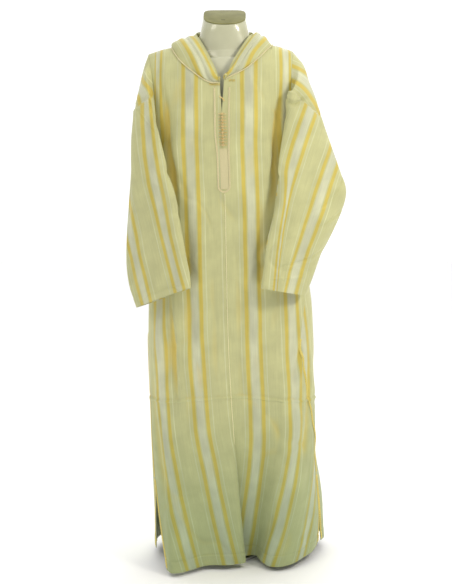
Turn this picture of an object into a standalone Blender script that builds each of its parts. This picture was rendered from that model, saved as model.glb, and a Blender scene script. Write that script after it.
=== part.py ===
# A hooded djellaba robe on a limbless dress form.
# Metres, +Z up.  The front faces -Y, so the wearer's right side is at -X.
# The origin is on the floor, a point of the base's underside below the robe's middle.
# Sizes below are in millimetres and are turned to metres where a mesh is made.

import math

import bmesh
import bpy
import numpy as np

MM = 0.001
WALL = 1.6          # cloth, with its seam allowances
GAP = 0.3           # between two pieces that touch

# ---------------------------------------------------------------- the cut of the body

UNDERARM = 1150.0   # height of the lowest point of both armholes
SIDE_SLIT = 245.0   # height of the top of both side slits
HEM = 20.0          # mean height of the hem

# Plain sections of the body, without its folds.  left/right are the widest places,
# front/back the depths, centre is where the centre front seam runs, round is the
# exponent of the section (2 is an ellipse, higher is squarer).
SECTIONS = [
    # height  left   right  front  back  centre round
    (14,     -186,   276,   118,   150,   40,   2.5),
    (120,    -192,   278,   120,   149,   38,   2.5),
    (206,    -194,   270,   122,   147,   36,   2.45),
    (310,    -199,   258,   124,   144,   34,   2.4),
    (450,    -201,   248,   125,   139,   24,   2.4),
    (620,    -205,   243,   126,   132,   13,   2.35),
    (720,    -203,   236,   125,   127,    9,   2.3),
    (860,    -195,   214,   124,   120,    6,   2.3),
    (1000,   -187,   197,   122,   113,    3,   2.3),
    (1150,   -180,   184,   118,   107,   -3,   2.3),
]

# The hem, from the centre front round each side to the centre back.  The centre seam
# lies inside a tuck that the right front laps over.  start is the height at which
# each fold runs out into the plain section.
HEM_LEFT_HALF = [
    # x     y     z   start
    (31,   -74,   20,  720),    # centre front seam, in the tuck
    (12,   -64,   20,  700),    # bottom of the tuck
    (70,   -46,   18,  640),    # foot of the valley
    (86,   -41,   17,  600),
    (99,   -62,   16,  600),    # wall of the left lobe
    (110,  -93,   15,  620),
    (122, -110,   14,  640),
    (142, -115,   14,  640),    # left lobe, nearest the front
    (165, -108,   15,  600),
    (188,  -95,   17,  560),
    (212,  -73,   20,  520),
    (235,  -46,   24,  500),
    (252,  -16,   28,  480),
    (264,   18,   31,  480),    # front edge of the left side slit
    (284,   62,   30,  480),
    (280,  112,   28,  480),
    (238,  146,   25,  560),
    (186,  138,   23,  640),    # hollow in the back
    (132,  156,   21,  700),
    (84,   148,   20,  640),
    (34,   158,   20,  560),    # centre back
]
HEM_RIGHT_HALF = [
    # x     y     z   start
    (31,   -74,   20,  720),    # centre front seam, in the tuck
    (60,   -82,   18,  700),    # lapping edge
    (56,   -95,   17,  640),
    (36,  -100,   16,  600),
    (-4,  -104,   16,  560),
    (-36, -106,   15,  520),
    (-66, -114,   14,  480),
    (-88, -130,   13,  480),
    (-112, -146,  12,  480),    # right lobe, nearest the front of all
    (-138, -152,  12,  440),
    (-154, -130,  13,  400),    # front edge of the right side slit
    (-190,   0,   22,  400),    # back edge of the right side slit
    (-194,  50,   24,  420),
    (-180, 100,   24,  480),
    (-140, 136,   23,  600),
    (-92,  134,   22,  680),    # hollow in the back
    (-44,  156,   21,  640),
    (-6,   148,   20,  600),
    (34,   158,   20,  560),    # centre back
]

# Where the side seams run, as a share of the way from centre front to centre back.
SIDE_SEAMS = [
    # height  right  left
    (14,      0.37,  0.517),
    (130,     0.395, 0.495),
    (245,     0.43,  0.47),
    (340,     0.44,  0.45),
    (430,     0.45,  0.41),
    (530,     0.47,  0.36),
    (620,     0.48,  0.335),
    (740,     0.48,  0.39),
    (900,     0.48,  0.45),
    (1150,    0.48,  0.48),
]

# How far the back edge of each side slit stands off its front edge at the hem, as a
# share of the same way.
SLIT_SPREAD = {"right": 0.18, "left": 0.03}
SLIT_GROWTH = 1.5

# The centre front seam above the underarm, and half the opening of the neck slit.
NECK_SLIT = [
    # height  x    half
    (1150,   -3,   0.15),
    (1231,   -5,   0.15),
    (1268,   -5,   3.0),
    (1309,   -4.5, 7.0),
]

# Height of the shoulder line, from side to side.
SHOULDER = [
    # x      z
    (-197, 1378),
    (-156, 1391),
    (-135, 1395),
    (-80, 1408),
    (0, 1416),
    (80, 1413),
    (125, 1401),
    (141, 1398),
    (178, 1386),
]
SHOULDER_ROUND = 2.5        # how full the chest is below the shoulder line
SHOULDER_TOP = 1350.0       # a first guess at the shoulder line, which four rounds make exact
FOLD_GROWTH = 1.15          # how a fold deepens from where it starts down to the hem

# The armhole edges.  edge is the x of the seam, reach the share of the section's
# half width there: a lower share carries the seam further round to the front.
ARMHOLES = [
    # height  right edge  left edge  reach
    (1150,   -180.0,     184.0,     0.9995),
    (1180,   -179.0,     180.0,     0.955),
    (1215,   -177.0,     176.0,     0.90),
    (1250,   -177.0,     173.5,     0.87),
    (1290,   -181.0,     173.0,     0.865),
    (1330,   -186.0,     174.0,     0.87),
    (1360,   -191.5,     176.0,     0.885),
    (1380,   -196.0,     178.0,     0.90),
]

# The neckline, from the slit round to the shoulder line, and across the back.
NECKLINE_RIGHT = [(-4.5, 1309), (-28, 1304), (-46, 1310), (-62, 1320), (-86, 1338),
                  (-106, 1355), (-124, 1376), (-136, 1394.9)]
NECKLINE_LEFT = [(-4.5, 1309), (16, 1321), (36, 1330), (56, 1341), (82, 1362),
                 (98, 1377), (112, 1390), (126, 1400.8)]
NECKLINE_BACK = [(126, 1400.8), (112, 1391), (86, 1380), (50, 1372), (0, 1368),
                 (-50, 1370), (-90, 1377), (-118, 1386), (-136, 1394.9)]

# Rows and columns of the panels.  ARMHOLE_STOP is how far below the armhole's tip its
# last row is measured, and ARMHOLE_CROWD and SEAM_CROWD draw rows and columns together.
ARMHOLE_STOP = 2.0
ARMHOLE_CROWD = 0.9
SEAM_CROWD = 1.2
ROWS_SKIRT = 19
ROWS_YOKE = 9
COLUMNS_NECK = 10
COLUMNS_SHOULDER = 4
COLUMNS_BACK_NECK = 12
COLUMNS_BACK_SHOULDER = 3

# ---------------------------------------------------------------- sleeves

# Each section of a sleeve lies between its outer edge and its inner edge; front and
# back are how far it bellies out to either side of the line between them.
SLEEVE_RIGHT = [
    # outer x     y     z    inner x    y     z   front back
    (-206,   -2, 1345,   -188,  -26, 1136,   64,   48),
    (-213,   -4, 1300,   -184,  -62, 1122,   58,   22),
    (-221,   -8, 1245,   -169,  -94, 1106,   48,   11),
    (-230,  -14, 1185,   -147, -114, 1082,   40,    9),
    (-237,  -19, 1120,   -131, -126, 1047,   33,    9),
    (-243,  -25, 1055,   -119, -133, 1002,   28,   10),
    (-249,  -33,  985,   -110, -138,  952,   25,   11),
    (-254,  -43,  910,   -101, -144,  901,   24,   12),
    (-255,  -56,  835,    -93, -150,  851,   22,   13),
    (-247,  -69,  775,    -87, -155,  814,   21,   13),
    (-229,  -80,  722,    -84, -158,  787,   20,   13),
]
SLEEVE_LEFT = [
    # outer x     y     z    inner x    y     z   front back
    (205,    -2, 1352,    191,  -28, 1137,   60,   46),
    (217,    -6, 1308,    183,  -70, 1126,   54,   22),
    (235,  -10, 1258,     166,  -98, 1112,   46,   11),
    (255,  -15, 1203,     145, -116, 1085,   40,    9),
    (277,  -22, 1146,     136, -126, 1045,   34,    9),
    (300,  -30, 1085,     129, -133, 1000,   29,   10),
    (319,  -40, 1030,     123, -139,  957,   27,   11),
    (309,  -47,  978,     116, -144,  917,   27,   11),
    (283,  -56,  920,     109, -149,  880,   28,   10),
    (251,  -64,  858,     103, -153,  846,   29,    9),
    (228,  -72,  802,      99, -157,  815,   31,    8),
    (208,  -82,  756,      96, -160,  786,   33,    8),
]
SLEEVE_ROUND = 2.2          # exponent of a sleeve's section
SLEEVE_TURNS = [4, 10, 18, 26, 33, 36]     # degrees that its first sections face outward
SEAM_STEP = 0.4             # between an armhole's edge and the sleeve

# ---------------------------------------------------------------- hood

# From the neck slit round to the centre back: the free edge, and how far the
# bag hangs below the neckline there.
HOOD_RIGHT = [
    # share  edge x    y     z   drop
    (0.00,   -11, -109, 1310,    0),
    (0.15,   -20,  -97, 1336,    0),
    (0.30,   -37,  -72, 1372,    0),
    (0.45,   -61,  -38, 1414,    0),
    (0.58,   -73,    6, 1431,    0),
    (0.66,   -70,   34, 1436,   42),
    (0.74,   -64,   56, 1438,  125),
    (0.86,   -40,   88, 1436,  230),
    (1.00,     0,  100, 1432,  330),
]
HOOD_LEFT = [
    # share  edge x    y     z   drop
    (0.00,     3, -109, 1316,    0),
    (0.15,    12,  -97, 1338,    0),
    (0.30,    30,  -72, 1372,    0),
    (0.45,    62,  -40, 1420,    0),
    (0.58,    76,    4, 1432,    0),
    (0.66,    73,   32, 1436,   42),
    (0.74,    65,   56, 1438,  125),
    (0.86,    40,   88, 1436,  230),
    (1.00,     0,  100, 1432,  330),
]
HOOD_TAPER = 0.62           # how much narrower the bag is at its point
# How the collar part rolls: how far it stands off a straight line from seam to edge, and
# how far it leans out over the shoulder, as a share of that line.
HOOD_ROLL_RIGHT = [
    # share  off  lean
    (0.00,    6,  0.0),
    (0.15,    6,  0.0),
    (0.30,    6,  0.06),
    (0.42,    6,  0.25),
    (0.50,    6,  0.36),
    (0.58,    6,  0.25),
    (0.70,    6,  0.0),
]
HOOD_ROLL_LEFT = [
    # share  off  lean
    (0.00,    6,  0.0),
    (1.00,    6,  0.0),
]
HOOD_HANGS = 90.0           # drop from which the bag hangs fully behind the back
HOOD_SWING = 9.0            # how much further off the back it lies at its upper corners
HOOD_LIP = (6.0, -12.0)     # how far behind and below its edge the hanging hood turns inward
COLLAR_LIP = 0.1            # the same for the collar, as a share of its way to the seam
BELOW_SHOULDER = 3.0        # the highest place, below the shoulder line, that the bag lies on
NECK_SEAM_STEP = 0.9        # between the neckline and the hood
# How the hood turns over its seam at the back, from the seam.
SEAM_TURN = [
    # back  up    edge
    (0.4,   4.0,  0.03),
    (3.5,   7.0,  0.06),
    (8.0,   4.0,  0.09),
]
# The bag's route down the back and up again to the free edge: the share of the drop,
# how far it lies off the back, and the share of the way to the edge where it is a collar.
HOOD_ROUTE = [
    # drop   off  edge
    (0.06,   6,   0.14),
    (0.40,   6,   0.22),
    (0.78,   6,   0.31),
    (1.00,   12,  0.41),
    (0.78,   19,  0.52),
    (0.40,   21,  0.64),
    (0.10,   23,  0.78),
]
HOOD_STEPS = [1, 1, 1, 1, 2, 2, 2, 2, 2, 2, 2, 1]   # rows from each stop to the next

# ---------------------------------------------------------------- trims

BRAID_THICK = 1.4
PLACKET_BRAID_WIDTH = 4.5
# The two braids beside the neck slit, which meet in a round end below it.
PLACKET = [
    # height  middle  half
    (1044,    0.5,  14.5),
    (1080,   -0.5,  14.5),
    (1135,   -2.5,  15.0),
    (1170,   -4.0,  17.5),
    (1240,   -5.0,  18.0),
    (1292,   -5.0,  19.0),
]
PLACKET_STEPS = 15
PLACKET_END_STEPS = 6
SIDE_BRAID_WIDTH = 5.5
SIDE_BRAID_TOP = 636.0
SIDE_BRAID_RISE = 0.7       # its distance from the cloth, which bends under it
PIPING_RADIUS = 1.5
PIPING_BELOW = 0.9          # its middle's distance below the neckline, and its rise off the cloth
PIPING_RISE = 0.45
BUTTONS = 11
BUTTON_TOP = 1226.0
BUTTON_PITCH = 7.8
BUTTON_RADIUS = 3.4
BUTTON_SIDES = (8, 6)

# ---------------------------------------------------------------- dress form

FORM_SECTIONS = [
    # height half width front back
    (742,    118,   78,   84),
    (760,    134,   88,   94),
    (840,    150,   96,  100),
    (930,    136,   90,   88),
    (1010,   118,   84,   78),
    (1090,   132,  100,   86),
    (1150,   146,  108,   92),
    (1220,   152,  102,   92),
    (1290,   156,   88,   86),
    (1340,   158,   72,   76),
    (1366,   159,   60,   68),
]
FORM_ROUND = 2.2
FORM_SHOULDERS = [156, 138, 118, 98, 82]    # half widths of the sections over the shoulders
SHOULDER_DEPTH = (48, 50)                   # front and back of those sections
FORM_NECK = [
    # height half width front back  round at the back
    (1424,    66,   50,   56,   2.3),
    (1440,    62,   50,   55,   2.8),
    (1470,    55,   49,   50,   5.5),
]
FORM_MIDDLE = 2.0
FORM_COLUMNS = 28
REST = 0.5                  # between the form's shoulders and the cloth on them
SHOULDER_FALL = 0.45        # how steeply they fall away to the front and the back
CAP_MIDDLE = 1471.0
CAP_SLOPE = 0.42            # the cap is cut lower at the front
CAP_THICK = 2.5
POLE_RADIUS = 12.5
STAND = (5.0, 48.0)         # where the pole and the base stand
BASE_RADIUS = 104.0
BASE_THICK = 8.0
BASE_SIDES = 40
POLE_SIDES = 16

# ---------------------------------------------------------------- colours

CLOTH = (0.55, 0.56, 0.32)
BRAID = (0.66, 0.62, 0.40)
SILK = (0.72, 0.52, 0.42)
IVORY = (0.62, 0.60, 0.48)
CAP_GREY = (0.30, 0.29, 0.20)
STEEL = (0.60, 0.60, 0.58)


# ---------------------------------------------------------------- small helpers

SECTION_SAMPLES = 240       # points of a section's half
CURVE_SAMPLES = 300
HEM_SAMPLES = 400
NECK_SAMPLES = 120
YOKE_STEP = 0.01            # radians, and millimetres below, over which a slope is taken
FRONT_STEP = 3.0

def column(table, index):
    return np.array([row[index] for row in table], dtype=float)


def smooth(x, knots, values):
    """A curve with no corners through (knots, values), flat past both ends."""
    x = np.clip(np.asarray(x, dtype=float), knots[0], knots[-1])
    slopes = np.gradient(values, knots)
    i = np.clip(np.searchsorted(knots, x, side="right") - 1, 0, len(knots) - 2)
    width = knots[i + 1] - knots[i]
    t = (x - knots[i]) / width
    start = (2 * t**3 - 3 * t**2 + 1) * values[i] + (t**3 - 2 * t**2 + t) * width * slopes[i]
    end = (3 * t**2 - 2 * t**3) * values[i + 1] + (t**3 - t**2) * width * slopes[i + 1]
    return start + end


def at(table, x, index):
    return smooth(x, column(table, 0), column(table, index))


def lengths(points):
    """Distance along a polyline, from its first point to each of its points."""
    steps = np.linalg.norm(np.diff(points, axis=0), axis=1)
    return np.concatenate([[0.0], np.cumsum(steps)])


def along(points, shares):
    """Points at the given shares of a polyline's length."""
    far = lengths(points)
    return np.stack([np.interp(np.asarray(shares) * far[-1], far, points[:, k])
                     for k in range(points.shape[1])], axis=-1)


def spline(points, shares):
    """Points at shares of the length of a smooth curve through the given points."""
    points = np.asarray(points, dtype=float)
    far = lengths(points)
    fine = np.linspace(0.0, far[-1], CURVE_SAMPLES)
    curve = np.stack([smooth(fine, far, points[:, k]) for k in range(points.shape[1])], axis=-1)
    return along(curve, shares)


def unit(vectors):
    return vectors / np.maximum(np.linalg.norm(vectors, axis=-1, keepdims=True), 1e-9)


def signed_power(value, power):
    return np.sign(value) * np.abs(value) ** power


# ---------------------------------------------------------------- the body's surface
# A place is a share of the way round the body: 0 is the centre front, 1 the centre
# back and 2 the centre front again, going by the wearer's left side.

def plain_half(height, side):
    """The plain section as a polyline from the centre front round one side to the back."""
    left, right, front, back, centre, power = [at(SECTIONS, height, k) for k in range(1, 7)]
    middle, half = (left + right) / 2, (right - left) / 2
    first = math.asin(signed_power((centre - middle) / half, power / 2))
    angle = np.linspace(first, side * math.pi, SECTION_SAMPLES)
    x = middle + half * signed_power(np.sin(angle), 2 / power)
    depth = np.where(np.cos(angle) > 0, -front, back)
    return np.stack([x, depth * np.abs(np.cos(angle)) ** (2 / power)], axis=-1)


def skirt_point(fall, place):
    """A point of the skirt: fall is 0 at the underarm and 1 at the hem."""
    side = 1 if place <= 1 else -1
    share = place if side > 0 else 2 - place
    hem = HEM_LEFT_HALF if side > 0 else HEM_RIGHT_HALF
    x, y, low, start = HEM_CURVES[side](share)
    height = UNDERARM + (low - UNDERARM) * fall
    fold = min(max((start - height) / (start - low), 0.0), 1.0) ** FOLD_GROWTH
    bottom = along(plain_half(hem[0][2], side), share)
    plain = along(plain_half(height, side), share)
    return (plain[0] + fold * (x - bottom[0]), plain[1] + fold * (y - bottom[1]), height)


def hem_curve(table):
    """The hem of one half as a function of the share of its length."""
    rows = np.array(table, dtype=float)
    far = lengths(rows[:, :2])
    fine = np.linspace(0.0, far[-1], HEM_SAMPLES)
    curve = np.stack([smooth(fine, far, rows[:, k]) for k in range(4)], axis=-1)
    travelled = lengths(curve[:, :2])
    return lambda share: [np.interp(share * travelled[-1], travelled, curve[:, k]) for k in range(4)]


HEM_CURVES = {1: hem_curve(HEM_LEFT_HALF), -1: hem_curve(HEM_RIGHT_HALF)}


def yoke_point(angle, climb):
    """A point above the underarm.  angle is 0 at the front, 90 degrees at the wearer's left
    and 180 at the back; climb is 0 at the underarm and 90 degrees on the shoulder line."""
    power = 2.0 / SECTIONS[-1][6]
    edge = 2 if math.sin(angle) > 0 else 1
    height = UNDERARM + (SHOULDER_TOP - UNDERARM) * math.sin(climb)
    for _ in range(4):
        half = abs(float(at(ARMHOLES, height, edge)) - MIDDLE) / float(at(ARMHOLES, height, 3))
        x = MIDDLE + half * float(signed_power(math.sin(angle), power))
        rise = float(signed_power(math.sin(climb), 2 / SHOULDER_ROUND))
        height = UNDERARM + (shoulder_height(x) - UNDERARM) * rise
    depth = -SECTIONS[-1][3] if math.cos(angle) > 0 else SECTIONS[-1][4]
    full = float(signed_power(math.cos(climb), 2 / SHOULDER_ROUND))
    return (x, depth * full * abs(math.cos(angle)) ** power, height)


MIDDLE = (SECTIONS[-1][1] + SECTIONS[-1][2]) / 2


def shoulder_height(x):
    return float(smooth(x, column(SHOULDER, 0), column(SHOULDER, 1)))


def yoke_place(x, height, back=False):
    """The angle and climb of the point at x and height."""
    edge = 2 if x > MIDDLE else 1
    half = abs(float(at(ARMHOLES, height, edge)) - MIDDLE) / float(at(ARMHOLES, height, 3))
    share = min(max(abs(x - MIDDLE) / half, 0.0), 1.0)
    angle = math.copysign(math.asin(share ** (SECTIONS[-1][6] / 2)), x - MIDDLE)
    rise = min(max((height - UNDERARM) / (shoulder_height(x) - UNDERARM), 0.0), 1.0)
    climb = math.asin(rise ** (SHOULDER_ROUND / 2))
    return ((math.pi - angle) if back else angle, climb)


def armhole_places(side, back):
    """Angle and climb of each row along an armhole's edge, from the underarm up."""
    edge = 2 if side > 0 else 1
    rows = []
    for turn in np.linspace(0.0, math.pi / 2, ROWS_YOKE + 1):
        rise = math.sin(turn) ** ARMHOLE_CROWD
        height = UNDERARM + (ARMHOLES[-1][0] - ARMHOLE_STOP - UNDERARM) * rise
        rows.append(yoke_place(float(at(ARMHOLES, height, edge)), height, back))
    rows[-1] = (rows[-1][0], math.pi / 2)
    return np.array(rows)


def patch(bottom, top, first, last):
    """Fills four edges with a grid; bottom and top run along its rows."""
    v = np.linspace(0.0, 1.0, len(first))[:, None, None]
    u = np.linspace(0.0, 1.0, len(bottom))[None, :, None]
    edges = (1 - v) * bottom[None] + v * top[None] + (1 - u) * first[:, None] + u * last[:, None]
    corners = ((1 - u) * (1 - v) * bottom[0] + u * (1 - v) * bottom[-1]
               + (1 - u) * v * top[0] + u * v * top[-1])
    return edges - corners


def underarm_angle(place):
    """The angle on the underarm section of a place round the body."""
    side = 1 if place <= 1 else -1
    share = place if side > 0 else 2 - place
    x, y = along(plain_half(UNDERARM, side), share)
    power = SECTIONS[-1][6] / 2
    depth = SECTIONS[-1][3] if y < 0 else SECTIONS[-1][4]
    cosine = -signed_power(y / depth, power)
    sine = signed_power((x - MIDDLE) / (SECTIONS[-1][2] - MIDDLE), power)
    return math.atan2(sine, cosine)


def seam_place(height, side, front):
    """Where a side seam runs, with its slit's edges apart below the slit's top."""
    share = float(at(SIDE_SEAMS, height, 2 if side > 0 else 1))
    if not front and height < SIDE_SLIT:
        spread = SLIT_SPREAD["left" if side > 0 else "right"]
        share += spread * ((SIDE_SLIT - height) / (SIDE_SLIT - HEM)) ** SLIT_GROWTH
    return share if side > 0 else 2 - share


def front_columns():
    """Shares from the centre front to a side seam, closer together in the tuck."""
    return np.linspace(0.0, 1.0, COLUMNS_NECK + COLUMNS_SHOULDER + 1) ** SEAM_CROWD


def skirt_row(fall, front):
    """One row of the skirt's front or back, from the wearer's right to left for the front."""
    row = []
    if front:
        shares = front_columns()
        spots = [(-1, s) for s in shares[:0:-1]] + [(1, s) for s in shares]
    else:
        count = COLUMNS_BACK_NECK + 2 * COLUMNS_BACK_SHOULDER
        spots = [(0, s) for s in np.linspace(0.0, 1.0, count + 1)]
    height = UNDERARM + (HEM - UNDERARM) * fall
    seams = {side: seam_place(height, side, front) for side in (1, -1)}
    for side, share in spots:
        if side > 0:
            place = share * seams[1]
        elif side < 0:
            place = 2 - share * (2 - seams[-1])
        else:
            place = seams[1] + share * (seams[-1] - seams[1])
        row.append(skirt_point(fall, place))
    return row


def neck_edge(line, back=False):
    """Angle and climb of points evenly spaced along a neckline on the body's surface."""
    count = COLUMNS_BACK_NECK if back else COLUMNS_NECK
    places = np.array([yoke_place(x, z, back) for x, z in spline(line, np.linspace(0.0, 1.0, NECK_SAMPLES))])
    far = lengths(np.array([yoke_point(*place) for place in places]))
    even = np.linspace(0.0, far[-1], count + 1)
    return [(np.interp(d, far, places[:, 0]), np.interp(d, far, places[:, 1])) for d in even]


def shoulder_edge(x_from, x_to, count, back=False):
    """Angle and climb of points along the shoulder line."""
    return [(yoke_place(x, shoulder_height(x), back)[0], math.pi / 2)
            for x in np.linspace(x_from, x_to, count + 1)]


def yoke_grid(front):
    """Angle and climb of each yoke point of the front or back, rows from the underarm up."""
    right_tip, left_tip = ARMHOLES[-1][1], ARMHOLES[-1][2]
    if front:
        halves = []
        for side in (-1, 1):
            neck = NECKLINE_LEFT if side > 0 else NECKLINE_RIGHT
            tip = left_tip if side > 0 else right_tip
            top = neck_edge(neck)[:-1] + shoulder_edge(neck[-1][0], tip, COLUMNS_SHOULDER)
            seam = seam_place(UNDERARM, side, True)
            shares = front_columns()
            places = [s * seam if side > 0 else 2 - s * (2 - seam) for s in shares]
            bottom = np.array([(underarm_angle(p), 0.0) for p in places])
            slit = [yoke_place(float(at(NECK_SLIT, z, 1)), z)
                    for z in np.linspace(UNDERARM, neck[0][1], ROWS_YOKE + 1)]
            slit[0], top[0] = tuple(bottom[0]), slit[-1]
            armhole = armhole_places(side, False)
            armhole[0], top[-1] = bottom[-1], tuple(armhole[-1])
            halves.append(patch(bottom, np.array(top), np.array(slit), armhole))
        return np.concatenate([halves[0][:, :0:-1], halves[1]], axis=1)
    neck = NECKLINE_BACK
    top = (shoulder_edge(left_tip, neck[0][0], COLUMNS_BACK_SHOULDER, back=True)
           + neck_edge(neck, back=True)[1:-1]
           + shoulder_edge(neck[-1][0], right_tip, COLUMNS_BACK_SHOULDER, back=True))
    first, last = seam_place(UNDERARM, 1, False), seam_place(UNDERARM, -1, False)
    bottom = []
    for place in np.linspace(first, last, len(top)):
        angle = underarm_angle(place)
        bottom.append((angle if angle > 0 else angle + 2 * math.pi, 0.0))
    sides = [armhole_places(1, True), armhole_places(-1, True)]
    sides[1][:, 0] %= 2 * math.pi
    top = np.array(top)
    top[:, 0] %= 2 * math.pi
    for k, edge in ((0, sides[0]), (-1, sides[1])):
        edge[0], top[k] = bottom[k], edge[-1]
    return patch(np.array(bottom), top, sides[0], sides[1])


def normals(grid, closed=False):
    """Outward directions of a grid whose rows go up and whose columns go round it."""
    if closed:
        across = np.roll(grid, -1, axis=1) - np.roll(grid, 1, axis=1)
    else:
        across = np.gradient(grid, axis=1)
    return unit(np.cross(across, np.gradient(grid, axis=0)))


def yoke_normal(angle, climb):
    across = np.subtract(yoke_point(angle + YOKE_STEP, climb), yoke_point(angle - YOKE_STEP, climb))
    up = np.subtract(yoke_point(angle, min(climb + YOKE_STEP, math.pi / 2)),
                     yoke_point(angle, climb - YOKE_STEP))
    return unit(np.cross(across, up))


def body_grid(front):
    """All points of the front or the back, rows from the hem up to the shoulders, and the
    outward direction at each."""
    skirt = np.array([skirt_row(fall, front) for fall in np.linspace(1.0, 0.0, ROWS_SKIRT + 1)])
    places = yoke_grid(front)[1:]
    yoke = np.array([[yoke_point(*place) for place in row] for row in places])
    grid = np.concatenate([skirt, yoke])
    out = normals(grid)
    out[ROWS_SKIRT + 1:] = [[yoke_normal(*place) for place in row] for row in places]
    return grid, out


def share_normals(front, back, front_out, back_out):
    """Makes front and back agree along the side seams and across the shoulder line."""
    for f, b in ((0, -1), (-1, 0)):
        for row in range(ROWS_SKIRT + 1):
            if np.linalg.norm(front[row, f] - back[row, b]) < WALL:
                both = unit(front_out[row, f] + back_out[row, b])
                front_out[row, f] = both
                back_out[row, b] = both
    for out, seam in ((front_out, COLUMNS_SHOULDER), (back_out, COLUMNS_BACK_SHOULDER)):
        for k in list(range(seam + 1)) + list(range(-seam - 1, 0)):
            out[-1, k] = unit(out[-1, k] * np.array([1.0, 0.0, 1.0]))


def drawn_in(grid, distance, end):
    """Moves a grid's first or last column in along its rows by a distance."""
    near = 1 if end == 0 else -2
    step = unit(grid[:, near] - grid[:, end])
    grid[:, end] += step * np.asarray(distance)[..., None]
    return grid


# ---------------------------------------------------------------- meshes

collection = None


def keep(obj, colour, roughness=0.8, metallic=0.0):
    """Puts an object in the robe's collection with its own material."""
    material = bpy.data.materials.new(obj.name + "_finish")
    material.use_nodes = True
    shader = material.node_tree.nodes["Principled BSDF"]
    shader.inputs["Base Color"].default_value = (*colour, 1.0)
    shader.inputs["Roughness"].default_value = roughness
    shader.inputs["Metallic"].default_value = metallic
    obj.data.materials.clear()
    obj.data.materials.append(material)
    for holder in list(obj.users_collection):
        holder.objects.unlink(obj)
    collection.objects.link(obj)
    return obj


def placed(points):
    return np.asarray(points) * MM


def wall(name, outer, inner, colour, closed=False, roughness=0.8):
    """A cloth wall between two grids of the same size."""
    rows, columns = outer.shape[:2]
    mesh = bpy.data.meshes.new(name)
    build = bmesh.new()
    skins = []
    for grid in (placed(outer), placed(inner)):
        skins.append([[build.verts.new(point) for point in row] for row in grid])
    steps = range(columns if closed else columns - 1)
    for row in range(rows - 1):
        for k in steps:
            n = (k + 1) % columns
            for skin, order in ((skins[0], 1), (skins[1], -1)):
                corners = [skin[row][k], skin[row][n], skin[row + 1][n], skin[row + 1][k]]
                build.faces.new(corners[::order])
    for row, order in ((0, -1), (rows - 1, 1)):
        for k in steps:
            n = (k + 1) % columns
            corners = [skins[0][row][k], skins[0][row][n], skins[1][row][n], skins[1][row][k]]
            build.faces.new(corners[::order])
    if not closed:
        for k, order in ((0, 1), (columns - 1, -1)):
            for row in range(rows - 1):
                corners = [skins[0][row][k], skins[0][row + 1][k],
                           skins[1][row + 1][k], skins[1][row][k]]
                build.faces.new(corners[::order])
    build.to_mesh(mesh)
    build.free()
    obj = bpy.data.objects.new(name, mesh)
    mesh.shade_smooth()
    mesh.set_sharp_from_angle(angle=math.radians(50))
    return keep(obj, colour, roughness)


def strip(name, centre, across, out, width, colour, rise=GAP):
    """A flat braid along a line on the cloth: across and out are unit directions."""
    edges = np.stack([centre - across * width / 2, centre + across * width / 2], axis=1)
    lift = out[:, None, :]
    return wall(name, edges + lift * (rise + BRAID_THICK), edges + lift * rise, colour)


def tube(name, points, radius, colour):
    """A round cord through pattern points."""
    curve = bpy.data.curves.new(name, "CURVE")
    curve.dimensions = "3D"
    curve.bevel_depth = radius * MM
    curve.bevel_resolution = 1
    curve.use_fill_caps = True
    line = curve.splines.new("POLY")
    line.points.add(len(points) - 1)
    for spot, point in zip(line.points, placed(points)):
        spot.co = (*point, 1.0)
    return keep(bpy.data.objects.new(name, curve), colour)


# ---------------------------------------------------------------- pieces

def front_at(x, height):
    """The front's point at x and height, above the folds, and its outward direction."""
    def point(px, pz):
        if pz >= UNDERARM:
            return np.array(yoke_point(*yoke_place(px, pz)))
        side = 1 if px > float(at(SECTIONS, pz, 5)) else -1
        front = plain_half(pz, side)
        front = front[front[:, 1] < 0]
        order = np.argsort(front[:, 0])
        return np.array([px, np.interp(px, front[order, 0], front[order, 1]), pz])
    slope = np.cross(point(x + FRONT_STEP, height) - point(x - FRONT_STEP, height),
                     point(x, height + FRONT_STEP) - point(x, height - FRONT_STEP))
    return point(x, height), unit(slope)


def make_body():
    """The two fronts and the back; returns their grids and directions for other pieces."""
    front, front_out = body_grid(True)
    back, back_out = body_grid(False)
    share_normals(front, back, front_out, back_out)
    centre = COLUMNS_NECK + COLUMNS_SHOULDER
    seam = np.full(len(front), GAP / 2)
    apart = np.interp(front[:, centre, 2], column(NECK_SLIT, 0), column(NECK_SLIT, 2))
    pieces = {}
    for name, grid, out, ends in (
            ("front_right_panel", front[:, :centre + 1], front_out[:, :centre + 1], (seam, apart)),
            ("front_left_panel", front[:, centre:], front_out[:, centre:], (apart, seam)),
            ("back_panel", back, back_out, (seam, seam))):
        grid = drawn_in(drawn_in(grid.copy(), ends[0], 0), ends[1], -1)
        if name == "back_panel":
            grid[-1, :COLUMNS_BACK_SHOULDER + 1, 1] += GAP / 2
            grid[-1, -COLUMNS_BACK_SHOULDER - 1:, 1] += GAP / 2
        elif name == "front_right_panel":
            grid[-1, :COLUMNS_SHOULDER + 1, 1] -= GAP / 2
        else:
            grid[-1, -COLUMNS_SHOULDER - 1:, 1] -= GAP / 2
        pieces[name] = (grid, out)
        wall(name, grid, grid - out * WALL, CLOTH)
    return pieces


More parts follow.
